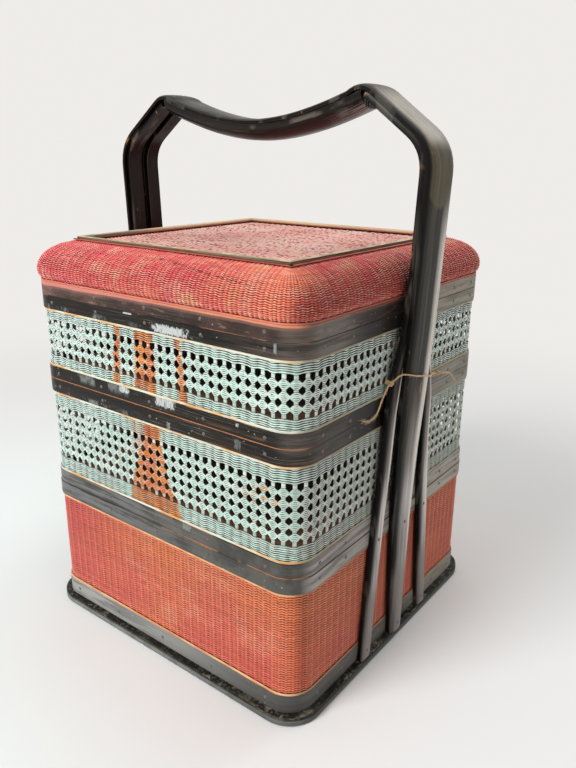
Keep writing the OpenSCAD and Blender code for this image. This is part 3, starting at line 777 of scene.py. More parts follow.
class Wire:
    """A value that varies over a surface; arithmetic on wires adds their Math nodes to its owner, which
    is a finish or the sky."""

    def __init__(self, owner, socket):
        self.owner = owner
        self.socket = socket

    def maths(self, operation, *values):
        return self.owner.add("ShaderNodeMath", {"operation": operation}, values)

    def __add__(self, other):
        return self.maths("ADD", self, other)

    def __radd__(self, other):
        return self.maths("ADD", other, self)

    def __sub__(self, other):
        return self.maths("SUBTRACT", self, other)

    def __rsub__(self, other):
        return self.maths("SUBTRACT", other, self)

    def __mul__(self, other):
        return self.maths("MULTIPLY", self, other)

    def __rmul__(self, other):
        return self.maths("MULTIPLY", other, self)

    def __truediv__(self, other):
        return self.maths("DIVIDE", self, other)

    def __abs__(self):
        return self.maths("ABSOLUTE", self)

    def least(self, other):
        return self.maths("MINIMUM", self, other)

    def most(self, other):
        return self.maths("MAXIMUM", self, other)

    def ramp(self, start, end):
        """0 at start and 1 at end, eased; start may be above end."""
        return self.owner.add("ShaderNodeMapRange", {"interpolation_type": "SMOOTHSTEP"},
                               [self, start, end, 0.0, 1.0])

    def within(self, start, end, soft):
        """1 between two values, fading over a soft edge."""
        return self.ramp(start - soft, start + soft) * self.ramp(end + soft, end - soft)


class Tree:
    """The nodes of a material or of the world."""

    def __init__(self, tree):
        self.tree = tree

    def add(self, kind, settings, values, output=0):
        """A node of a kind: its settings, then the values or wires of its sockets."""
        node = self.tree.nodes.new(kind)
        for key, value in settings.items():
            setattr(node, key, value)
        pairs = values.items() if isinstance(values, dict) else enumerate(values)
        for key, value in pairs:
            if isinstance(value, Wire):
                self.tree.links.new(value.socket, node.inputs[key])
            else:
                node.inputs[key].default_value = value
        return Wire(self, node.outputs[output])

    def show(self, wire, output):
        self.tree.links.new(wire.socket, self.tree.nodes[output].inputs["Surface"])


class Finish(Tree):
    """A material under construction."""

    def __init__(self, name, rough=0.6):
        self.material = bpy.data.materials.new(name)
        self.material.use_nodes = True
        super().__init__(self.material.node_tree)
        self.shader = self.tree.nodes["Principled BSDF"]
        self.set("Roughness", rough)
        self.place = self.coordinates("Object")
        self.x, self.y, self.z = (self.add("ShaderNodeSeparateXYZ", {}, [self.place], output=k)
                                  for k in range(3))

    def set(self, socket, value):
        if isinstance(value, Wire):
            self.tree.links.new(value.socket, self.shader.inputs[socket])
        else:
            self.shader.inputs[socket].default_value = value

    def coordinates(self, kind):
        return self.add("ShaderNodeTexCoord", {}, {}, output=kind)

    def noise(self, stretch, detail, rough, shift=0.0, scale=1.0):
        place = self.add("ShaderNodeMapping", {}, {"Vector": self.place, "Scale": stretch,
                                                   "Location": (shift, shift * 0.7, shift * 1.3)})
        return self.add("ShaderNodeTexNoise", {}, {"Vector": place, "Scale": scale, "Detail": detail,
                                                   "Roughness": rough})

    def cloud(self, scale, detail, rough, shift=0.0):
        """Noise that is as broad one way as the other."""
        return self.noise((1, 1, 1), detail, rough, shift, scale)

    def fibres(self, along, across, scale, detail):
        """Noise drawn out along a strand."""
        place = self.add("ShaderNodeMapping", {}, {"Vector": self.coordinates("UV"),
                                                   "Scale": (along, across, 1)})
        return self.add("ShaderNodeTexNoise", {}, {"Vector": place, "Scale": scale, "Detail": detail})

    def attribute(self, name):
        return self.add("ShaderNodeAttribute", {"attribute_name": name}, {}, output="Fac")

    def mix(self, share, a, b):
        """Colour a where share is 0 and b where it is 1."""
        return self.add("ShaderNodeMix", {"data_type": "RGBA"}, {0: share, 6: colour(a), 7: colour(b)},
                        output=2)

    def coat(self, base, *coats):
        """Coats of paint, dust or wear laid over a base in turn, each with its share and its colour."""
        for share, tint in coats:
            base = self.mix(share, base, tint)
        return base

    def shade(self, base, amount):
        """A colour made lighter or darker by a wire about 1."""
        grey = self.add("ShaderNodeCombineXYZ", {}, [amount, amount, amount])
        return self.add("ShaderNodeMix", {"data_type": "RGBA", "blend_type": "MULTIPLY"},
                        {0: 1.0, 6: colour(base), 7: grey}, output=2)

    def bump(self, height, distance, strength=1.0):
        self.set("Normal", self.add("ShaderNodeBump", {}, {"Height": height, "Distance": distance,
                                                           "Strength": strength}))

    def on(self, *pieces):
        for piece in pieces:
            piece.data.materials.clear()
            piece.data.materials.append(self.material)
            piece.data.polygons.foreach_set("material_index", [0] * len(piece.data.polygons))


def colour(value):
    """A wire as it is, or three sRGB numbers from 0 to 255 as a linear colour."""
    if isinstance(value, Wire):
        return value
    linear = [(c / 255 / 12.92) if c <= 10 else ((c / 255 + 0.055) / 1.055) ** 2.4 for c in value]
    return (*linear, 1.0)


# Levels of the stack that paint and wear follow
BOTTOM_RIM, MIDDLE_RIM, UPPER_RIM = (low(f"{tray}_rim_band").z for tray in TRAYS)
LOW_JOINT = low("middle_foot_band").z
UPPER_JOINT = low("upper_foot_band").z
LID_JOINT = low("lid_band").z
LID_BAND_TOP = high("lid_band").z
# Where the front begins, in y: its flat face alone, and with the rounding of its corners
FRONT_FACE = (-142 * MM, -146 * MM)
FRONT_AND_CORNERS = (-100 * MM, -140 * MM)

BLACK = (9, 8, 7)
COPPER = (190, 126, 84)
BRUSHED_WHITE = (206, 212, 210)
# Brush marks: place and half length along the front, height and half height in millimetres, thickness
DAUBS = ((-30, 6, 246, 3.2, 0.85), (19, 10, 245, 4, 0.85), (27, 19, 305, 3.6, 0.85),
         (-20, 5, 311.6, 0.7, 0.85), (94, 1.5, 245, 1.5, 0.7), (94, 3, 230, 4, 0.18),
         (60, 4, 250, 1.4, 0.85), (129, 1.3, 308.5, 3.6, 0.4), (37, 4, 141, 3, 0.25), (21, 2, 226, 3.5, 0.4))
# Bare cane: left and right edge at the foot, the same at the head, foot and head height, and how far the
# right edge flares out at the foot, all in millimetres
BARE_CANE = ((-47, -37, -39.5, -33, 236, 302, 0), (-18, 7.5, -15.5, 6.5, 236, 302, 0),
             (33, 43, 30, 36, 236, 302, 0), (-32, 20, -11, 8.5, 143, 224, 9))


def lacquer(name, streak, worn_tint, base=(12, 11, 9), faded=(44, 38, 32), gloss=0.22):
    """Old black lacquer on bamboo: glossy, with fine grain and with faded and rubbed patches."""
    f = Finish(name)
    grain = f.noise(streak, 4, 0.6)
    lines = f.noise(streak, 3, 0.6, shift=17, scale=0.3)
    hairline = f.noise(streak, 3, 0.6, shift=37, scale=2.6)
    broad = f.cloud(20, 3, 0.5, shift=3)
    fine = f.cloud(700, 2, 0.5, shift=5)
    rub = lines.ramp(0.62, 0.74) * broad.ramp(0.48, 0.62)
    f.base = f.coat(
        base,
        (grain.ramp(0.44, 0.72) * 0.5 + lines.ramp(0.52, 0.66) * 0.3, faded),
        (broad.ramp(0.5, 0.75) * 0.4, faded),
        (hairline.ramp(0.57, 0.65) * broad.ramp(0.36, 0.6) * 0.36, (150, 140, 126)),
        (rub * 0.35, worn_tint))
    f.rough = gloss + lines * 0.16 + fine * 0.08 + broad.ramp(0.45, 0.75) * 0.18
    f.set("Roughness", f.rough)
    f.set("Specular IOR Level", 0.2)
    f.bump(grain * 0.35 + lines * 0.7 + fine * 0.06 + broad * 1.6, 0.3 * MM, 0.5)
    f.set("Base Color", f.base)
    return f


def daubs(f, ragged=2.6):
    """Ragged dry brush marks on the front face."""
    hairs = f.noise((520, 520, 60), 4, 0.7, shift=4)
    blotch = f.noise((260, 260, 200), 3, 0.6, shift=19)
    total = 0
    for x, half, z, high_half, thick in DAUBS:
        across = abs(f.x - x * MM) / (half * MM) + (blotch - 0.5) * 1.6
        up = abs(f.z - z * MM) / (high_half * MM) + (hairs - 0.5) * ragged
        total = across.most(up).ramp(1.05, 0.8) * thick + total
    return total.least(1.0) * hairs.ramp(0.3, 0.5) * f.y.ramp(*FRONT_FACE)


def copper_edges(f, head, foot, front, patchy, long):
    """Where the lacquer is rubbed through: along the edges of the bands and along their joints."""
    seam = f.z.within(UPPER_JOINT - 0.1 * MM, UPPER_JOINT + 0.7 * MM, 0.2 * MM) * front
    low_seam = f.z.ramp(LOW_JOINT - 0.2 * MM, LOW_JOINT + 0.3 * MM) * f.z.ramp(LOW_JOINT + 1.1 * MM,
                                                                               LOW_JOINT + 0.7 * MM)
    lid_seam = head.ramp(0.6 * MM, 0.2 * MM) * f.z.ramp(LID_JOINT - 1 * MM, LID_JOINT - 0.7 * MM) * f.z.ramp(
        LID_JOINT + 0.2 * MM, LID_JOINT) * f.x.within(0.048, 0.1, 8 * MM)
    rim = head.ramp(0.5 * MM, 0.1 * MM) * patchy.ramp(0.52, 0.6)
    toe = foot.ramp(0.45 * MM, 0.1 * MM) * patchy.ramp(0.58, 0.64)
    coppery = f.x.ramp(0.0, 0.04)
    edge = (rim * 0.8).most(toe * 0.6).most(seam * patchy.ramp(0.3, 0.42)).most(
        low_seam * coppery * patchy.ramp(0.4, 0.48)).most(lid_seam * long.ramp(0.4, 0.5) * 0.8)
    return edge, low_seam * (1 - coppery) * front * 0.85


def band_finish():
    """Lacquer with the grain along the bands: dusty brown on the lid, faded to grey towards the foot,
    with copper lines where edges are rubbed, white brush marks, and the paint of the dome run over the
    top of the lid's band. Painted shade of the leg darkens the +X side, and a painted highlight lies on
    the near corner of the upper bands."""
    f = lacquer("band_lacquer", (9, 9, 520), (150, 96, 58))
    head, foot = f.attribute("head"), f.attribute("foot")
    patchy = f.cloud(38, 3, 0.6, shift=12)
    long = f.noise((13, 13, 240), 4, 0.65, shift=23)
    scuffs = f.noise((34, 34, 150), 4, 0.7, shift=51)
    specks = f.noise((330, 330, 420), 2, 0.5, shift=31).ramp(0.7, 0.74)
    hazy = f.noise((45, 45, 22), 4, 0.75, shift=61).ramp(0.5, 0.64) * f.x.ramp(0.02, -0.06)
    front = f.y.ramp(*FRONT_AND_CORNERS)
    side = f.x.ramp(0.145, 0.152)
    on_lid = f.z.ramp(LID_JOINT - 0.5 * MM, LID_JOINT + 0.5 * MM)
    dusty = on_lid * (0.45 + patchy.ramp(0.35, 0.65) * 0.5) * (0.4 + f.x.ramp(0.0, -0.12) * 0.6)
    low_band = f.z.ramp(0.06, 0.02)
    low_left = (f.x + f.y * 0.3).ramp(0.1, -0.1)
    low_rim = f.z.within(BOTTOM_RIM + 0.5 * MM, LOW_JOINT + 12.5 * MM, 0.4 * MM) * front
    streaked = f.x.ramp(0.1, -0.1) * f.z.ramp(0.16, 0.14) * front
    lower = f.z.ramp(UPPER_JOINT, UPPER_JOINT - 16 * MM)
    upper_bands = f.z.ramp(MIDDLE_RIM - 2 * MM, MIDDLE_RIM + 3 * MM) * f.z.ramp(LID_JOINT + 1 * MM,
                                                                              LID_JOINT - 1 * MM)
    upper_right = f.x.ramp(0.06, 0.12) * f.z.ramp(UPPER_RIM - 1 * MM, UPPER_RIM + 1 * MM) * upper_bands
    # Painted shade and dark reflection of the leg, on the +X side of the upper bands
    painted_leg_shade = f.y.within(-80 * MM, 15 * MM, 22 * MM) * f.z.ramp(0.16, 0.22)
    shut = 1 - f.z.within(0.215, 0.26, 8 * MM) * 0.6 - f.z.ramp(0.05, 0.03) * 0.55
    # Painted highlight on the near corner of the upper bands
    turn = f.x.ramp(0.125, 0.14) * f.y.ramp(-0.12, -0.14) * f.z.ramp(MIDDLE_RIM, UPPER_JOINT)
    edge, black_seam = copper_edges(f, head, foot, front, patchy, long)
    joint = sum(f.z.within(z - 0.5 * MM, z + 0.5 * MM, 0.25 * MM)
                for z in (LOW_JOINT, UPPER_JOINT, LID_JOINT))
    run = f.z + (patchy - 0.5) * (2 * MM) + f.x.ramp(0.03, -0.1) * (1.5 * MM)
    painted = 1 - f.x.ramp(0.142, 0.149) * 0.8
    paint = f.mix(f.x.ramp(-0.02, 0.08), (214, 134, 120), (224, 146, 108))
    near_marks = f.z.within(UPPER_RIM, UPPER_RIM + 4 * MM, 1.5 * MM) + f.z.within(
        UPPER_JOINT + 5 * MM, UPPER_JOINT + 13 * MM, 2.5 * MM) + f.z.within(
        MIDDLE_RIM, MIDDLE_RIM + 4 * MM, 1.2 * MM)
    white = daubs(f)
    f.set("Base Color", f.coat(
        f.base,
        (dusty, (112, 84, 76)),
        (scuffs.ramp(0.55, 0.64) * on_lid * 0.5, (24, 18, 16)),
        (scuffs.ramp(0.44, 0.36) * on_lid * 0.4, (160, 132, 120)),
        (low_band * (0.75 + long.ramp(0.35, 0.65) * 0.25), (84, 84, 82)),
        (low_band * low_left * 0.9, (176, 176, 171)),
        (low_rim * (0.4 + patchy.ramp(0.35, 0.6) * 0.4), (98, 97, 92)),
        (streaked * long.ramp(0.44, 0.56) * 0.85, (126, 127, 128)),
        (f.x.ramp(0.04, -0.12) * long.ramp(0.5, 0.62) * lower * 0.4, (84, 84, 84)),
        (f.x.ramp(0.02, -0.08) * upper_bands * 0.7, (20, 13, 8)),
        (upper_right * long.ramp(0.35, 0.6) * 0.35, (104, 90, 84)),
        (side * (0.35 + long.ramp(0.38, 0.6) * 0.5) * (1 - painted_leg_shade) * shut, (136, 130, 120)),
        (side * f.z.within(0.11, 0.155, 5 * MM) * (0.25 + long.ramp(0.4, 0.6) * 0.4), (196, 192, 188)),
        # Painted shade of the leg on the +X side
        (side * painted_leg_shade * 0.95, (8, 7, 6)),
        (side * f.y.ramp(0.02, 0.06) * (0.35 + long.ramp(0.35, 0.6) * 0.4), (176, 170, 154)),
        # Painted highlight on the near corner
        (turn * (0.25 + long.ramp(0.4, 0.6) * 0.4), (112, 104, 96)),
        (edge * (1 - side * 0.8), COPPER),
        (black_seam, (24, 22, 22)),
        (joint * side * 0.9, (10, 8, 7)),
        (run.ramp(LID_BAND_TOP - 4.4 * MM, LID_BAND_TOP - 2.4 * MM) * painted * 0.65, (136, 98, 90)),
        (run.ramp(LID_BAND_TOP - 2 * MM, LID_BAND_TOP - 1 * MM) * painted * 0.9, paint),
        (hazy * near_marks.least(1.0) * f.y.ramp(*FRONT_FACE) * 0.36, (186, 192, 190)),
        (specks * patchy.ramp(0.45, 0.6) * 0.6, (196, 192, 180)),
        (white, BRUSHED_WHITE)))
    f.set("Roughness", f.rough + white * 0.3 + low_band * 0.16 + dusty * 0.2)
    return f


def cane_weave(name, tints, shade_and_fleck_tint, patch_and_glint_tint, tones, patch, tuck_shade, painted_glint, crest_wear_and_sheen=0.0, seam=1.0,
               wide=0.0, painted_side_shade=0.0):
    """Painted cane: a tint of its own for each strand and dark flecks. Painted shade lies in the gaps
    between rows, in the tucks and, deeper, in the gaps on the +X side; a painted glint runs along each
    strand, and the crests over the stakes are lighter, partly worn and partly painted highlight. The
    tones lay the coats that only one wall has."""
    f = Finish(name, 0.5)
    left_tint, high_tint, low_tint = tints
    swell, tint, edge = f.attribute("swell"), f.attribute("tint"), f.attribute("seam")
    fibre = f.fibres(60, 9, 4.0, 2.0)
    broad = f.noise((1, 1, 1.4), 3, 0.55, shift=2, scale=13)
    f.fleck = f.noise((260, 260, 420), 3, 0.65, shift=6)
    short = f.noise((120, 120, 500), 2, 0.6, shift=26)
    base = f.coat(
        f.mix(broad.ramp(0.34, 0.66), high_tint, low_tint),
        (f.x.ramp(0.02, -0.13) * 0.75, left_tint),
        (f.cloud(30, 4, 0.65, shift=15).ramp(0.52, 0.66) * patch, patch_and_glint_tint))
    # Lighter over the crests of the stakes: partly worn paint, partly painted highlight
    if crest_wear_and_sheen:
        faint = f.noise((70, 70, 8), 2, 0.6, shift=29).ramp(0.36, 0.6)
        base = f.mix(swell.ramp(0.9, 1.0) * short.ramp(0.3, 0.5) * faint * crest_wear_and_sheen, base, patch_and_glint_tint)
    base = f.shade(tones(f, base), 0.8 + tint * 0.24 + fibre * 0.2)
    # Painted shade in the gaps between rows: seam sets how strong it is, wide how far it spreads
    gap = edge.ramp(0.42 - wide * 0.2, 0.86 - wide * 0.3)
    f.set("Base Color", f.coat(
        base,
        (f.fleck.ramp(0.6, 0.7) * 0.5, shade_and_fleck_tint),
        # Painted glint along the middle of each strand
        (edge.ramp(0.3, 0.0) * short.ramp(0.42, 0.62) * painted_glint, patch_and_glint_tint),
        # Painted shade in the gaps between rows
        (gap * seam * (0.55 + short.ramp(0.4, 0.6) * 0.45), shade_and_fleck_tint),
        # Painted shade in the tucks between stakes
        (swell.ramp(0.75, 0.0) * tuck_shade, shade_and_fleck_tint),
        # Deeper painted shade in the gaps on the +X side, which the light leaves in shade
        (edge.ramp(0.3, 0.62) * f.x.ramp(0.14, 0.147) * painted_side_shade, [c * 0.4 for c in shade_and_fleck_tint])))
    f.set("Roughness", 0.4 + f.fleck * 0.25)
    f.set("Specular IOR Level", 0.35)
    f.bump(fibre * 0.6 + f.fleck * 0.7, 0.12 * MM, 0.6)
    return f


def mint_tones(f, base):
    """Bare orange cane where the mint paint was left off, and rubbed pinkish streaks."""
    ragged = f.x + (f.noise((40, 40, 620), 3, 0.65, shift=8) - 0.5) * (9 * MM)
    z = f.z
    bare = 0
    for x0, x1, x2, x3, z0, z1, flare in BARE_CANE:
        rise = z.ramp(z0 * MM, z1 * MM)
        left = x0 * MM + rise * ((x2 - x0) * MM)
        right = x1 * MM + rise * ((x3 - x1) * MM) + rise.ramp(0.3, 0.0) * (flare * MM)
        inside = (ragged - left).ramp(-0.5 * MM, 0.5 * MM) * (right - ragged).ramp(-0.5 * MM, 0.5 * MM)
        bare = inside * (z.ramp(z0 * MM, (z0 + 1) * MM) * z.ramp((z1 + 1) * MM, z1 * MM)) + bare
    faint = ragged.within(-26 * MM, -11 * MM, 2 * MM) * z.within(0.19, 0.224, 8 * MM) * 0.4
    bare = bare.most(faint).least(1.0) * f.y.ramp(-0.140, -0.143)
    streaks = f.noise((30, 30, 500), 3, 0.6, shift=21).ramp(0.57, 0.68)
    near_corner = f.x.within(0.096, 0.13, 9 * MM) * z.within(0.187, 0.207, 4 * MM)
    rubbed = f.noise((110, 110, 260), 4, 0.7, shift=65).ramp(0.5, 0.57)
    orange = f.mix(f.cloud(60, 2, 0.5, shift=33).ramp(0.35, 0.65), (232, 150, 80), (212, 112, 54))
    return f.coat(
        base,
        (streaks * 0.22, (226, 164, 122)),
        (near_corner * rubbed * 0.95, (218, 150, 84)),
        # Lighter on the +X side, to balance the painted shade in its gaps
        (f.x.ramp(0.14, 0.147) * 0.5, (240, 248, 240)),
        (f.x.ramp(0.143, 0.148) * z.ramp(0.24, 0.2) * 0.2, (170, 132, 112)),
        (bare * (1 - f.fleck.ramp(0.62, 0.8) * 0.4), orange))


def wall_tones(f, base):
    """Paint faded to a golden red below the rim and deeper at the foot, with a painted highlight where the
    light falls round the near corner and painted shade just past it.
    """
    return f.coat(
        base,
        (f.z.ramp(0.07, 0.112) * f.x.ramp(-0.12, 0.04) * 0.35, (226, 136, 84)),
        (f.z.ramp(0.075, 0.03) * f.x.ramp(-0.04, 0.12) * 0.4, (206, 78, 72)),
        # Painted highlight where the light falls on the near corner
        (f.x.ramp(0.118, 0.142) * f.y.ramp(-0.08, -0.13) * 0.5, (250, 142, 90)),
        # Lighter on the +X side, to balance the painted shade in its gaps
        (f.x.ramp(0.146, 0.1475) * 0.3, (216, 136, 118)),
        # Painted shade just past the near corner, where the wall turns away from the light
        (f.x.within(0.1435, 0.1475, 1.5 * MM) * f.y.ramp(-0.1, -0.12) * 0.2, (120, 52, 46)))


def dome_tones(f, base):
    """Paint that drifts from crimson to gold, darker and browner on the +X side, with a painted
    highlight round the near corner, and with dark gaps along the row where the wall of the dome turns
    into its shoulder."""
    height = LID_BAND_TOP + 29.5 * MM - (f.x - 0.01) * 0.075
    row = abs(f.z - height).ramp(0.75 * MM, 0.35 * MM)
    dashes = f.noise((230, 230, 30), 1, 0.5, shift=9).ramp(0.5, 0.56)
    shown = f.x.within(0.0, 0.112, 8 * MM) * f.y.ramp(-0.1, -0.12)
    drift = f.noise((1, 1, 1.6), 3, 0.6, shift=91, scale=24)
    corner = f.x.ramp(0.105, 0.125) * f.x.ramp(0.146, 0.136) * f.y.ramp(-0.1, -0.12)
    return f.coat(
        base,
        (drift.ramp(0.5, 0.38) * 0.4, (202, 60, 76)),
        (drift.ramp(0.53, 0.66) * f.x.ramp(-0.08, 0.08) * 0.6, (224, 158, 108)),
        # Darker and browner on the +X side: partly painted shade on the side the light leaves in shade,
        # partly a browner tone
        (f.x.ramp(0.134, 0.146) * 0.55, (162, 68, 58)),
        # Painted highlight where the light falls on the near corner
        (corner * 0.6, (255, 146, 108)),
        (row * dashes * shown * 0.8, (104, 34, 30)))


def cane_line(name, tint_a, tint_b, dirt=(74, 46, 30), painted=None, shadow=None, dull=(128, 128, 112)):
    """A smooth split cane: long glossy fibres with dark nicks, in places under the paint of the weave,
    duller on the side of the leg, and with a dark gap over it from the height shadow up."""
    f = Finish(name, 0.36)
    grain = f.noise((26, 26, 1400), 3, 0.6)
    coats = []
    if painted:
        coats.append((f.noise((1, 1, 3), 3, 0.6, shift=16, scale=22).ramp(0.44, 0.58), painted))
    coats.append((grain.ramp(0.55, 0.75) * 0.55, dirt))
    if shadow:
        coats.append((f.z.ramp(shadow, shadow + 0.5 * MM) * 0.85, (136, 48, 38)))
    coats.append((f.x.ramp(0.14, 0.1475) * 0.75, dull))
    patchy = f.cloud(45, 3, 0.6, shift=4)
    f.set("Base Color", f.coat(f.mix(patchy.ramp(0.38, 0.62), tint_a, tint_b), *coats))
    f.set("Roughness", 0.3 + grain * 0.3)
    f.bump(grain, 0.1 * MM, 0.5)
    return f


def bamboo(name, light, dark, streak, rough=0.55, back=None):
    """Split bamboo with its fibres along it; the strips at the back may be of a paler cut."""
    f = Finish(name, rough)
    grain = f.noise(streak, 4, 0.6)
    broad = f.cloud(18, 3, 0.5, shift=7)
    base = f.mix(grain.ramp(0.3, 0.7), light, dark)
    if back:
        base = f.mix((f.y - f.x * 0.7).ramp(0.0, 0.06) * (0.55 + grain * 0.4), base, back)
    f.base = f.shade(base, 0.8 + broad * 0.4)
    f.set("Base Color", f.base)
    f.set("Roughness", rough - 0.12 + grain * 0.25)
    f.bump(grain + broad * 0.4, 0.25 * MM, 0.5)
    return f


def crown_finish():
    """The frame of the panel: on the near sides a greyed foot, a dark upper face and a straw-yellow top."""
    f = bamboo("crown_bamboo", (204, 196, 166), (150, 142, 112), (20, 20, 900), 0.4, back=(236, 202, 156))
    z0, z1 = levels_of("lid_frame")
    tall = z1 - z0
    near = (f.y - f.x * 0.7).ramp(0.06, 0.0)
    patchy = f.cloud(60, 3, 0.6, shift=81)
    right = f.x.ramp(0.07, 0.1)
    dark = f.z.within(z0 + 0.42 * tall, z0 + 0.8 * tall, 0.08 * tall) * (0.45 + right * 0.5)
    top = f.z.ramp(z0 + 0.8 * tall, z0 + 0.9 * tall) * near
    f.set("Base Color", f.coat(
        f.base,
        (near * (0.45 + patchy.ramp(0.4, 0.6) * 0.35), (122, 118, 98)),
        (dark * near, (40, 34, 26)),
        (top * 0.8, (230, 206, 146)),
        (top * patchy.ramp(0.56, 0.46) * 0.6, (96, 78, 56))))
    return f


def floor_finish():
    """Floor boards with painted shade over the middle, paler along the walls where light through the weave
    reaches them.
    """
    f = bamboo("floor_board", (186, 142, 112), (136, 96, 70), (14, 300, 14), 0.65)
    # Painted shade over the middle of each floor inside the trays; the boards stay paler along the walls
    dark = abs(f.x).most(abs(f.y)).ramp(0.124, 0.095)
    f.set("Base Color", f.mix(dark * 0.92, f.base, (16, 12, 10)))
    return f


def plinth_finish():
    """A smooth grey bead below and a dark ledge above it, speckled with pale dust."""
    f = lacquer("plinth_lacquer", (9, 9, 300), (150, 110, 76), faded=(74, 68, 58))
    z0, z1 = levels_of("plinth")
    ledge = f.z.ramp(z0 + 0.55 * (z1 - z0), z0 + 0.68 * (z1 - z0))
    dust = f.noise((1, 1, 2.4), 4, 0.7, shift=1, scale=300)
    drift = f.cloud(60, 3, 0.6, shift=71)
    bead = (1 - ledge) * f.y.ramp(-0.13, -0.15)
    dusted = bead * (0.5 + drift.ramp(0.35, 0.6) * 0.4) * (1 - f.x.ramp(0.0, 0.12) * 0.6)
    f.set("Base Color", f.coat(
        f.base,
        ((1 - ledge) * 0.7, (84, 86, 82)),
        (dusted, (136, 137, 134)),
        (ledge * dust.ramp(0.5, 0.64) * (0.15 + drift.ramp(0.42, 0.6) * 0.5), (150, 145, 128)),
        (ledge * dust.ramp(0.48, 0.36) * 0.6, (20, 18, 16))))
    f.set("Roughness", f.rough + ledge * 0.2)
    return f


def strip_tones(f, across, outward, streaks, shown):
    """Coats across a bent strip: black front edge and inside, a painted highlight along the back edge, and a
    grey foot with a pale band above it, partly faded lacquer and partly painted sheen.
    """
    shank = f.z.within(0.19, 0.4, 25 * MM) * shown
    # Grey foot: partly faded lacquer, partly painted sheen
    foot = f.z.ramp(0.22, 0.14) * (0.5 + streaks.ramp(0.36, 0.6) * 0.4) * across.ramp(-1.0, 0.1)
    # Pale band above the foot: partly dry lacquer, partly painted sheen
    dry = f.z.within(0.125, 0.23, 25 * MM) * across.within(-0.35, 0.9, 0.25)
    # Painted highlight along the back edge, where the strip would reflect the bright backdrop behind it
    back = across.ramp(0.2, 0.62) * across.ramp(1.02, 0.86) * f.z.within(0.1, 0.385, 30 * MM)
    toe = f.z.ramp(0.09, 0.06)
    brown = f.z.within(0.17, 0.25, 20 * MM) * across.within(-0.5, 0.25, 0.2)
    return ((shank * across.within(-0.75, -0.25, 0.2) * streaks.ramp(0.3, 0.6) * 0.45, (92, 86, 76)),
            (shank * across.within(-0.1, 0.35, 0.15) * 0.75, (9, 7, 5)),
            (foot * shown, (192, 187, 183)),
            (dry * shown * (0.35 + streaks.ramp(0.3, 0.6) * 0.3), (238, 232, 226)),
            # Painted highlight along the back edge
            (back * shown * (0.6 + streaks.ramp(0.35, 0.6) * 0.35), (234, 229, 216)),
            (toe * shown * (0.5 + streaks.ramp(0.36, 0.6) * 0.4), (128, 120, 115)),
            (across.ramp(-0.62, -0.9) * (0.85 - toe * 0.5), BLACK),
            (brown * shown * 0.55, (58, 38, 28)),
            (outward.ramp(-0.2, -0.7) * 0.7, (34, 18, 16)))


def handle_finish():
    """Lacquer with the grain along the strips: olive over the bends, partly rubbed and partly painted sheen,
    a painted highlight on the slope, pale streaks that are partly painted sheen, and worn to tan spots.
    """
    f = lacquer("handle_lacquer", (7, 420, 7), (120, 96, 70), gloss=0.2)
    f.set("Specular IOR Level", 0.13)
    top = high("handle_strip").z
    across, outward = f.attribute("across"), f.attribute("outward")
    streaks = f.noise((60, 240, 5), 3, 0.6, shift=41)
    patchy = f.noise((20, 60, 20), 3, 0.6, shift=2)
    scored = f.noise((14, 500, 14), 3, 0.7, shift=73).ramp(0.56, 0.62)
    flecks = f.noise((200, 200, 60), 3, 0.6, shift=14).ramp(0.69, 0.73)
    shown = outward.ramp(0.0, 0.6)
    upper = (f.z - across * across * (14 * MM)).ramp(top - 92 * MM, top - 88 * MM) * f.x.ramp(0.1, 0.14)
    # Olive over the bend on the +X side: partly rubbed lacquer, partly painted sheen
    sheen = upper * across.within(-0.82, 0.76, 0.08) * shown
    sheen_back = sheen * across.ramp(0.2, 0.6) * f.z.ramp(top - 66 * MM, top - 52 * MM)
    # Painted highlight on the upward slope of the strip
    slope_highlight = f.z.within(top - 44 * MM, top - 6 * MM, 6 * MM) * shown * across.ramp(-0.8, -0.55)
    peak = f.z.ramp(top - 24 * MM, top - 6 * MM)
    bend = f.z.within(top - 62 * MM, top - 36 * MM, 10 * MM)
    worn = abs(across).ramp(0.88, 0.98) * (peak * 0.8 + bend * 0.7) * patchy.ramp(0.58, 0.66)
    f.set("Base Color", f.coat(
        f.base,
        *strip_tones(f, across, outward, streaks, shown),
        # Olive over the bend: partly rubbed, partly painted sheen
        (sheen * (0.7 + streaks.ramp(0.3, 0.7) * 0.3), (86, 78, 56)),
        (sheen_back * 0.75, (40, 36, 28)),
        # Painted highlight on the slope
        (slope_highlight * f.x.ramp(0.05, 0.1) * (0.5 + streaks * 0.4), (178, 170, 156)),
        (slope_highlight * scored * patchy.ramp(0.4, 0.55) * 0.6, (36, 32, 26)),
        # Pale streaks along the strips: partly rubbed, partly painted sheen
        (streaks.ramp(0.57, 0.66) * 0.25, (126, 122, 112)),
        ((worn + flecks * 0.4).least(1.0) * 0.85, (190, 140, 92))))
    return f


def grip_finish():
    """Lacquer with a painted highlight along the top of the grip, that turns dark red along its underside."""
    f = lacquer("grip_lacquer", (7, 420, 7), (90, 40, 32), faded=(40, 34, 29), gloss=0.18)
    across, outward = f.attribute("across"), f.attribute("outward")
    hollow = f.noise((30, 12, 30), 3, 0.5, shift=27).ramp(0.4, 0.6)
    scraped = f.noise((60, 900, 60), 3, 0.6, shift=44).ramp(0.42, 0.55)
    under = outward.ramp(0.3, -0.5) * abs(across).ramp(1.0, 0.7)
    f.set("Base Color", f.coat(
        f.base,
        # Painted highlight on the top face, where the grip reflects the light above it
        (outward.ramp(0.5, 0.9) * 0.75, (196, 192, 180)),
        (under * (0.4 + hollow * 0.5), (46, 14, 14)),
        (under * f.x.ramp(0.07, 0.1) * scraped * 0.8, (150, 142, 140))))
    return f


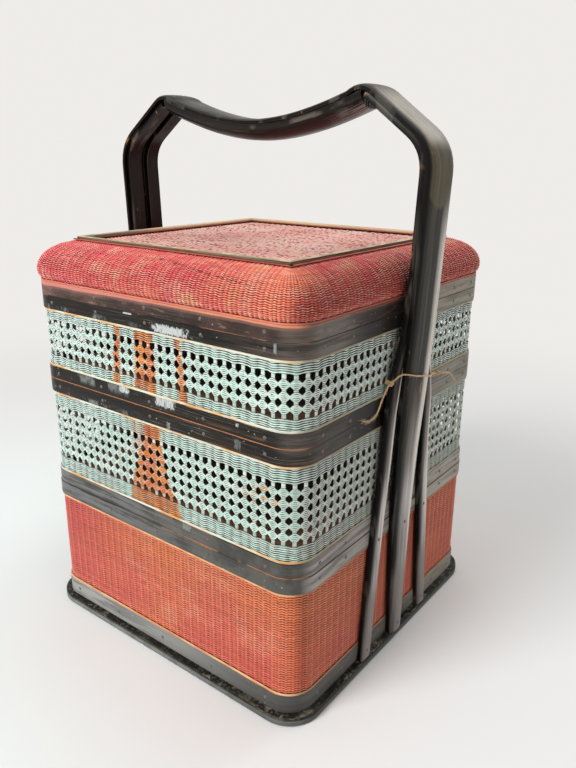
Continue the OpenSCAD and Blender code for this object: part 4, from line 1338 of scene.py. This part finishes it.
def twill_finish():
    """Pink twill: darker where the strands dip below the floats, with dark red flecks between the strands."""
    f = Finish("crown_twill", 0.6)
    fleck = f.noise((70, 800, 1), 3, 0.65)
    coarse = f.noise((48, 420, 1), 3, 0.7, shift=13)
    broad = f.cloud(16, 3, 0.55, shift=5)
    floats = high("lid_panel").z - TWILL_DOWN
    f.set("Base Color", f.coat(
        f.mix(broad.ramp(0.35, 0.65), (246, 204, 192), (238, 178, 168)),
        (fleck.ramp(0.54, 0.62) * 0.8, (200, 84, 80)),
        (coarse.ramp(0.55, 0.61) * 0.9, (124, 40, 40)),
        (f.noise((44, 480, 1), 3, 0.6, shift=11).ramp(0.56, 0.66) * 0.7, (232, 208, 168)),
        (f.z.ramp(floats, floats - 0.6 * MM) * 0.5, (128, 50, 48))))
    f.set("Roughness", 0.5 + fleck * 0.2)
    f.bump(fleck + coarse * 0.6, 0.15 * MM, 0.5)
    return f


def twine_finish():
    """Natural twine: short fibres that run with the ply."""
    f = Finish("twine_fibre", 0.85)
    fibre = f.fibres(120, 6, 5.0, 3.0)
    broad = f.cloud(120, 3, 0.6)
    base = f.mix(fibre.ramp(0.35, 0.65), (236, 206, 160), (192, 152, 104))
    f.set("Base Color", f.shade(base, 0.78 + broad * 0.44))
    f.set("Sheen Weight", 0.25)
    f.bump(fibre, 0.2 * MM, 0.7)
    return f


def iron_finish():
    """Dull iron with rusty specks, painted over in grey on the lowest band."""
    f = Finish("nail_iron", 0.5)
    spot = f.cloud(900, 3, 0.6)
    painted = f.z.ramp(0.03, 0.026)
    f.set("Base Color", f.coat(
        f.mix(spot.ramp(0.4, 0.7), (118, 112, 106), (86, 62, 46)),
        (painted * 0.8, (108, 108, 105))))
    f.set("Metallic", (0.7 - spot * 0.4) * (1 - painted))
    f.set("Roughness", 0.4 + spot * 0.3)
    f.bump(spot, 0.1 * MM, 0.5)
    return f


# ---------------- stage

FLOOR_HALF = 6
FLOOR_DOWN = 0.4 * MM
FLOOR = (243.2, 243.7, 243.6)
# A cooler white where the red wall throws its light on the floor
FLOOR_IN_RED_LIGHT = (243.2, 249, 248.2)
BACKDROP = (0.86, 0.838, 0.815, 1)
SKY = (1.0, 0.955, 0.915, 1)
SKY_STRENGTH = 0.34
SEEN_RAYS = ("Is Camera Ray", "Is Glossy Ray", "Is Transmission Ray")


def seen_rays(tree):
    """1 where the backdrop is seen, in itself or in a reflection, and 0 where it would light a piece."""
    camera, glossy, clear = (tree.add("ShaderNodeLightPath", {}, {}, output=kind) for kind in SEEN_RAYS)
    return camera.most(glossy).most(clear)


def make_stage():
    bm = bmesh.new()
    bmesh.ops.create_grid(bm, x_segments=1, y_segments=1, size=FLOOR_HALF)
    mesh = bpy.data.meshes.new("floor")
    bm.to_mesh(mesh)
    bm.free()
    floor = bpy.data.objects.new("floor", mesh)
    floor.location.z = -FLOOR_DOWN
    bpy.context.scene.collection.objects.link(floor)
    f = Finish("floor_paint", 0.9)
    out = f.x * f.x + f.y * f.y
    reach = out.maths("SQRT", out)
    red_lit = reach.ramp(0.8, 0.35) * f.x.ramp(0.2, -0.05)
    f.set("Base Color", f.mix(red_lit, FLOOR, FLOOR_IN_RED_LIGHT))
    far = reach.ramp(0.35, 1.3)
    glow = f.add("ShaderNodeEmission", {}, {"Color": BACKDROP})
    shaded = Wire(f, f.shader.outputs[0])
    f.show(f.add("ShaderNodeMixShader", {}, [far * seen_rays(f), shaded, glow]), "Material Output")
    mesh.materials.append(f.material)

    world = bpy.data.worlds.new("studio")
    bpy.context.scene.world = world
    world.use_nodes = True
    sky = Tree(world.node_tree)
    background = sky.tree.nodes["Background"]
    background.inputs["Color"].default_value = SKY
    background.inputs["Strength"].default_value = SKY_STRENGTH
    soft = Wire(sky, background.outputs[0])
    plain = sky.add("ShaderNodeBackground", {}, {"Color": BACKDROP, "Strength": 1.0})
    sky.show(sky.add("ShaderNodeMixShader", {}, [seen_rays(sky), soft, plain]), "World Output")


def make_light(name, place, aim, size, power, tint=(1, 1, 1)):
    """A round lamp turned to a point at this height over the middle of the plinth."""
    data = bpy.data.lights.new(name, "AREA")
    data.shape = "DISK"
    data.size = size
    data.energy = power
    data.color = tint
    lamp = bpy.data.objects.new(name, data)
    lamp.location = place
    lamp.rotation_euler = (Vector(place) - Vector((0, 0, aim))).to_track_quat("Z", "Y").to_euler()
    bpy.context.scene.collection.objects.link(lamp)


# ---------------- assembly

make_camera()
twine_pieces = make_twine()

bands = make_bands()
canes = make_canes()
hoops = make_hoops()
plinth = make_plinth()
bottom_wicker = make_bottom_weave()
middle_wicker, middle_stakes = make_openwork("middle", hole_rows=6)
upper_wicker, upper_stakes = make_openwork("upper", hole_rows=4)
lid_wicker = make_dome()
twill = make_twill()
lining = make_lining()
binding = make_binding()
crown_beads = make_crown_frame()
strip, grip, struts = make_handle()
nails = make_nails()
mint_pieces = [middle_wicker, upper_wicker, middle_stakes, upper_stakes]
floors = [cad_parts[node] for node in ("base_board", "middle_floor", "upper_floor")]

band_finish().on(*bands)
plinth_finish().on(plinth)
handle_finish().on(strip, *struts)
grip_finish().on(grip)
cane_weave("red_cane", ((210, 92, 94), (220, 112, 92), (228, 130, 88)), (126, 36, 28), (246, 180, 150),
           patch=0.3, tuck_shade=0.12, crest_wear_and_sheen=0.9, painted_glint=0.5, painted_side_shade=0.2, tones=wall_tones).on(bottom_wicker)
cane_weave("lid_cane_red", ((232, 98, 108), (230, 96, 96), (238, 124, 102)), (108, 14, 18), (255, 210, 180),
           patch=0.4, tuck_shade=0.35, painted_glint=1.0, tones=dome_tones).on(lid_wicker)
cane_weave("mint_cane", ((214, 236, 230), (211, 237, 226), (198, 226, 215)), (44, 50, 42), (236, 238, 224),
           patch=0.3, tuck_shade=0.12, painted_glint=0.9, seam=0.95, wide=0.5, painted_side_shade=0.55,
           tones=mint_tones).on(*mint_pieces)
bottom_canes, middle_canes, upper_canes, lid_cane = canes
cane_line("orange_cane", (242, 194, 142), (226, 156, 106), dull=(120, 84, 66)).on(bottom_canes)
cane_line("tan_cane", (238, 216, 170), (226, 170, 108), painted=(222, 226, 208)).on(middle_canes, upper_canes)
cane_line("lid_cane_line", (214, 116, 104), (220, 130, 94), (116, 36, 32),
          shadow=low("lid_cane").z + 1.2 * MM, dull=(150, 68, 58)).on(lid_cane)
cane_line("binding_red", (168, 70, 60), (188, 92, 76), (80, 24, 22)).on(binding)
twill_finish().on(twill)
crown_finish().on(crown_beads)
inner_bamboo = bamboo("inner_bamboo", (124, 84, 54), (76, 48, 31), (20, 20, 500))
inner_bamboo.on(*hoops, lining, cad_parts["lid_ledger"])
floor_finish().on(*floors)
iron_finish().on(*nails)
twine_finish().on(*twine_pieces)

make_stage()
make_light("key", (-0.4, -1.55, 1.4), aim=0.2, size=0.9, power=28, tint=(0.985, 0.995, 1))
make_light("fill", (1.7, -0.9, 0.9), aim=0.2, size=1.6, power=3, tint=(0.97, 0.985, 1))
make_light("top", (0.1, 0.4, 2.0), aim=0.3, size=1.6, power=8)
make_light("back", (0.35, 1.5, 1.6), aim=0.3, size=1.0, power=7)

bpy.context.scene.view_settings.view_transform = "Standard"
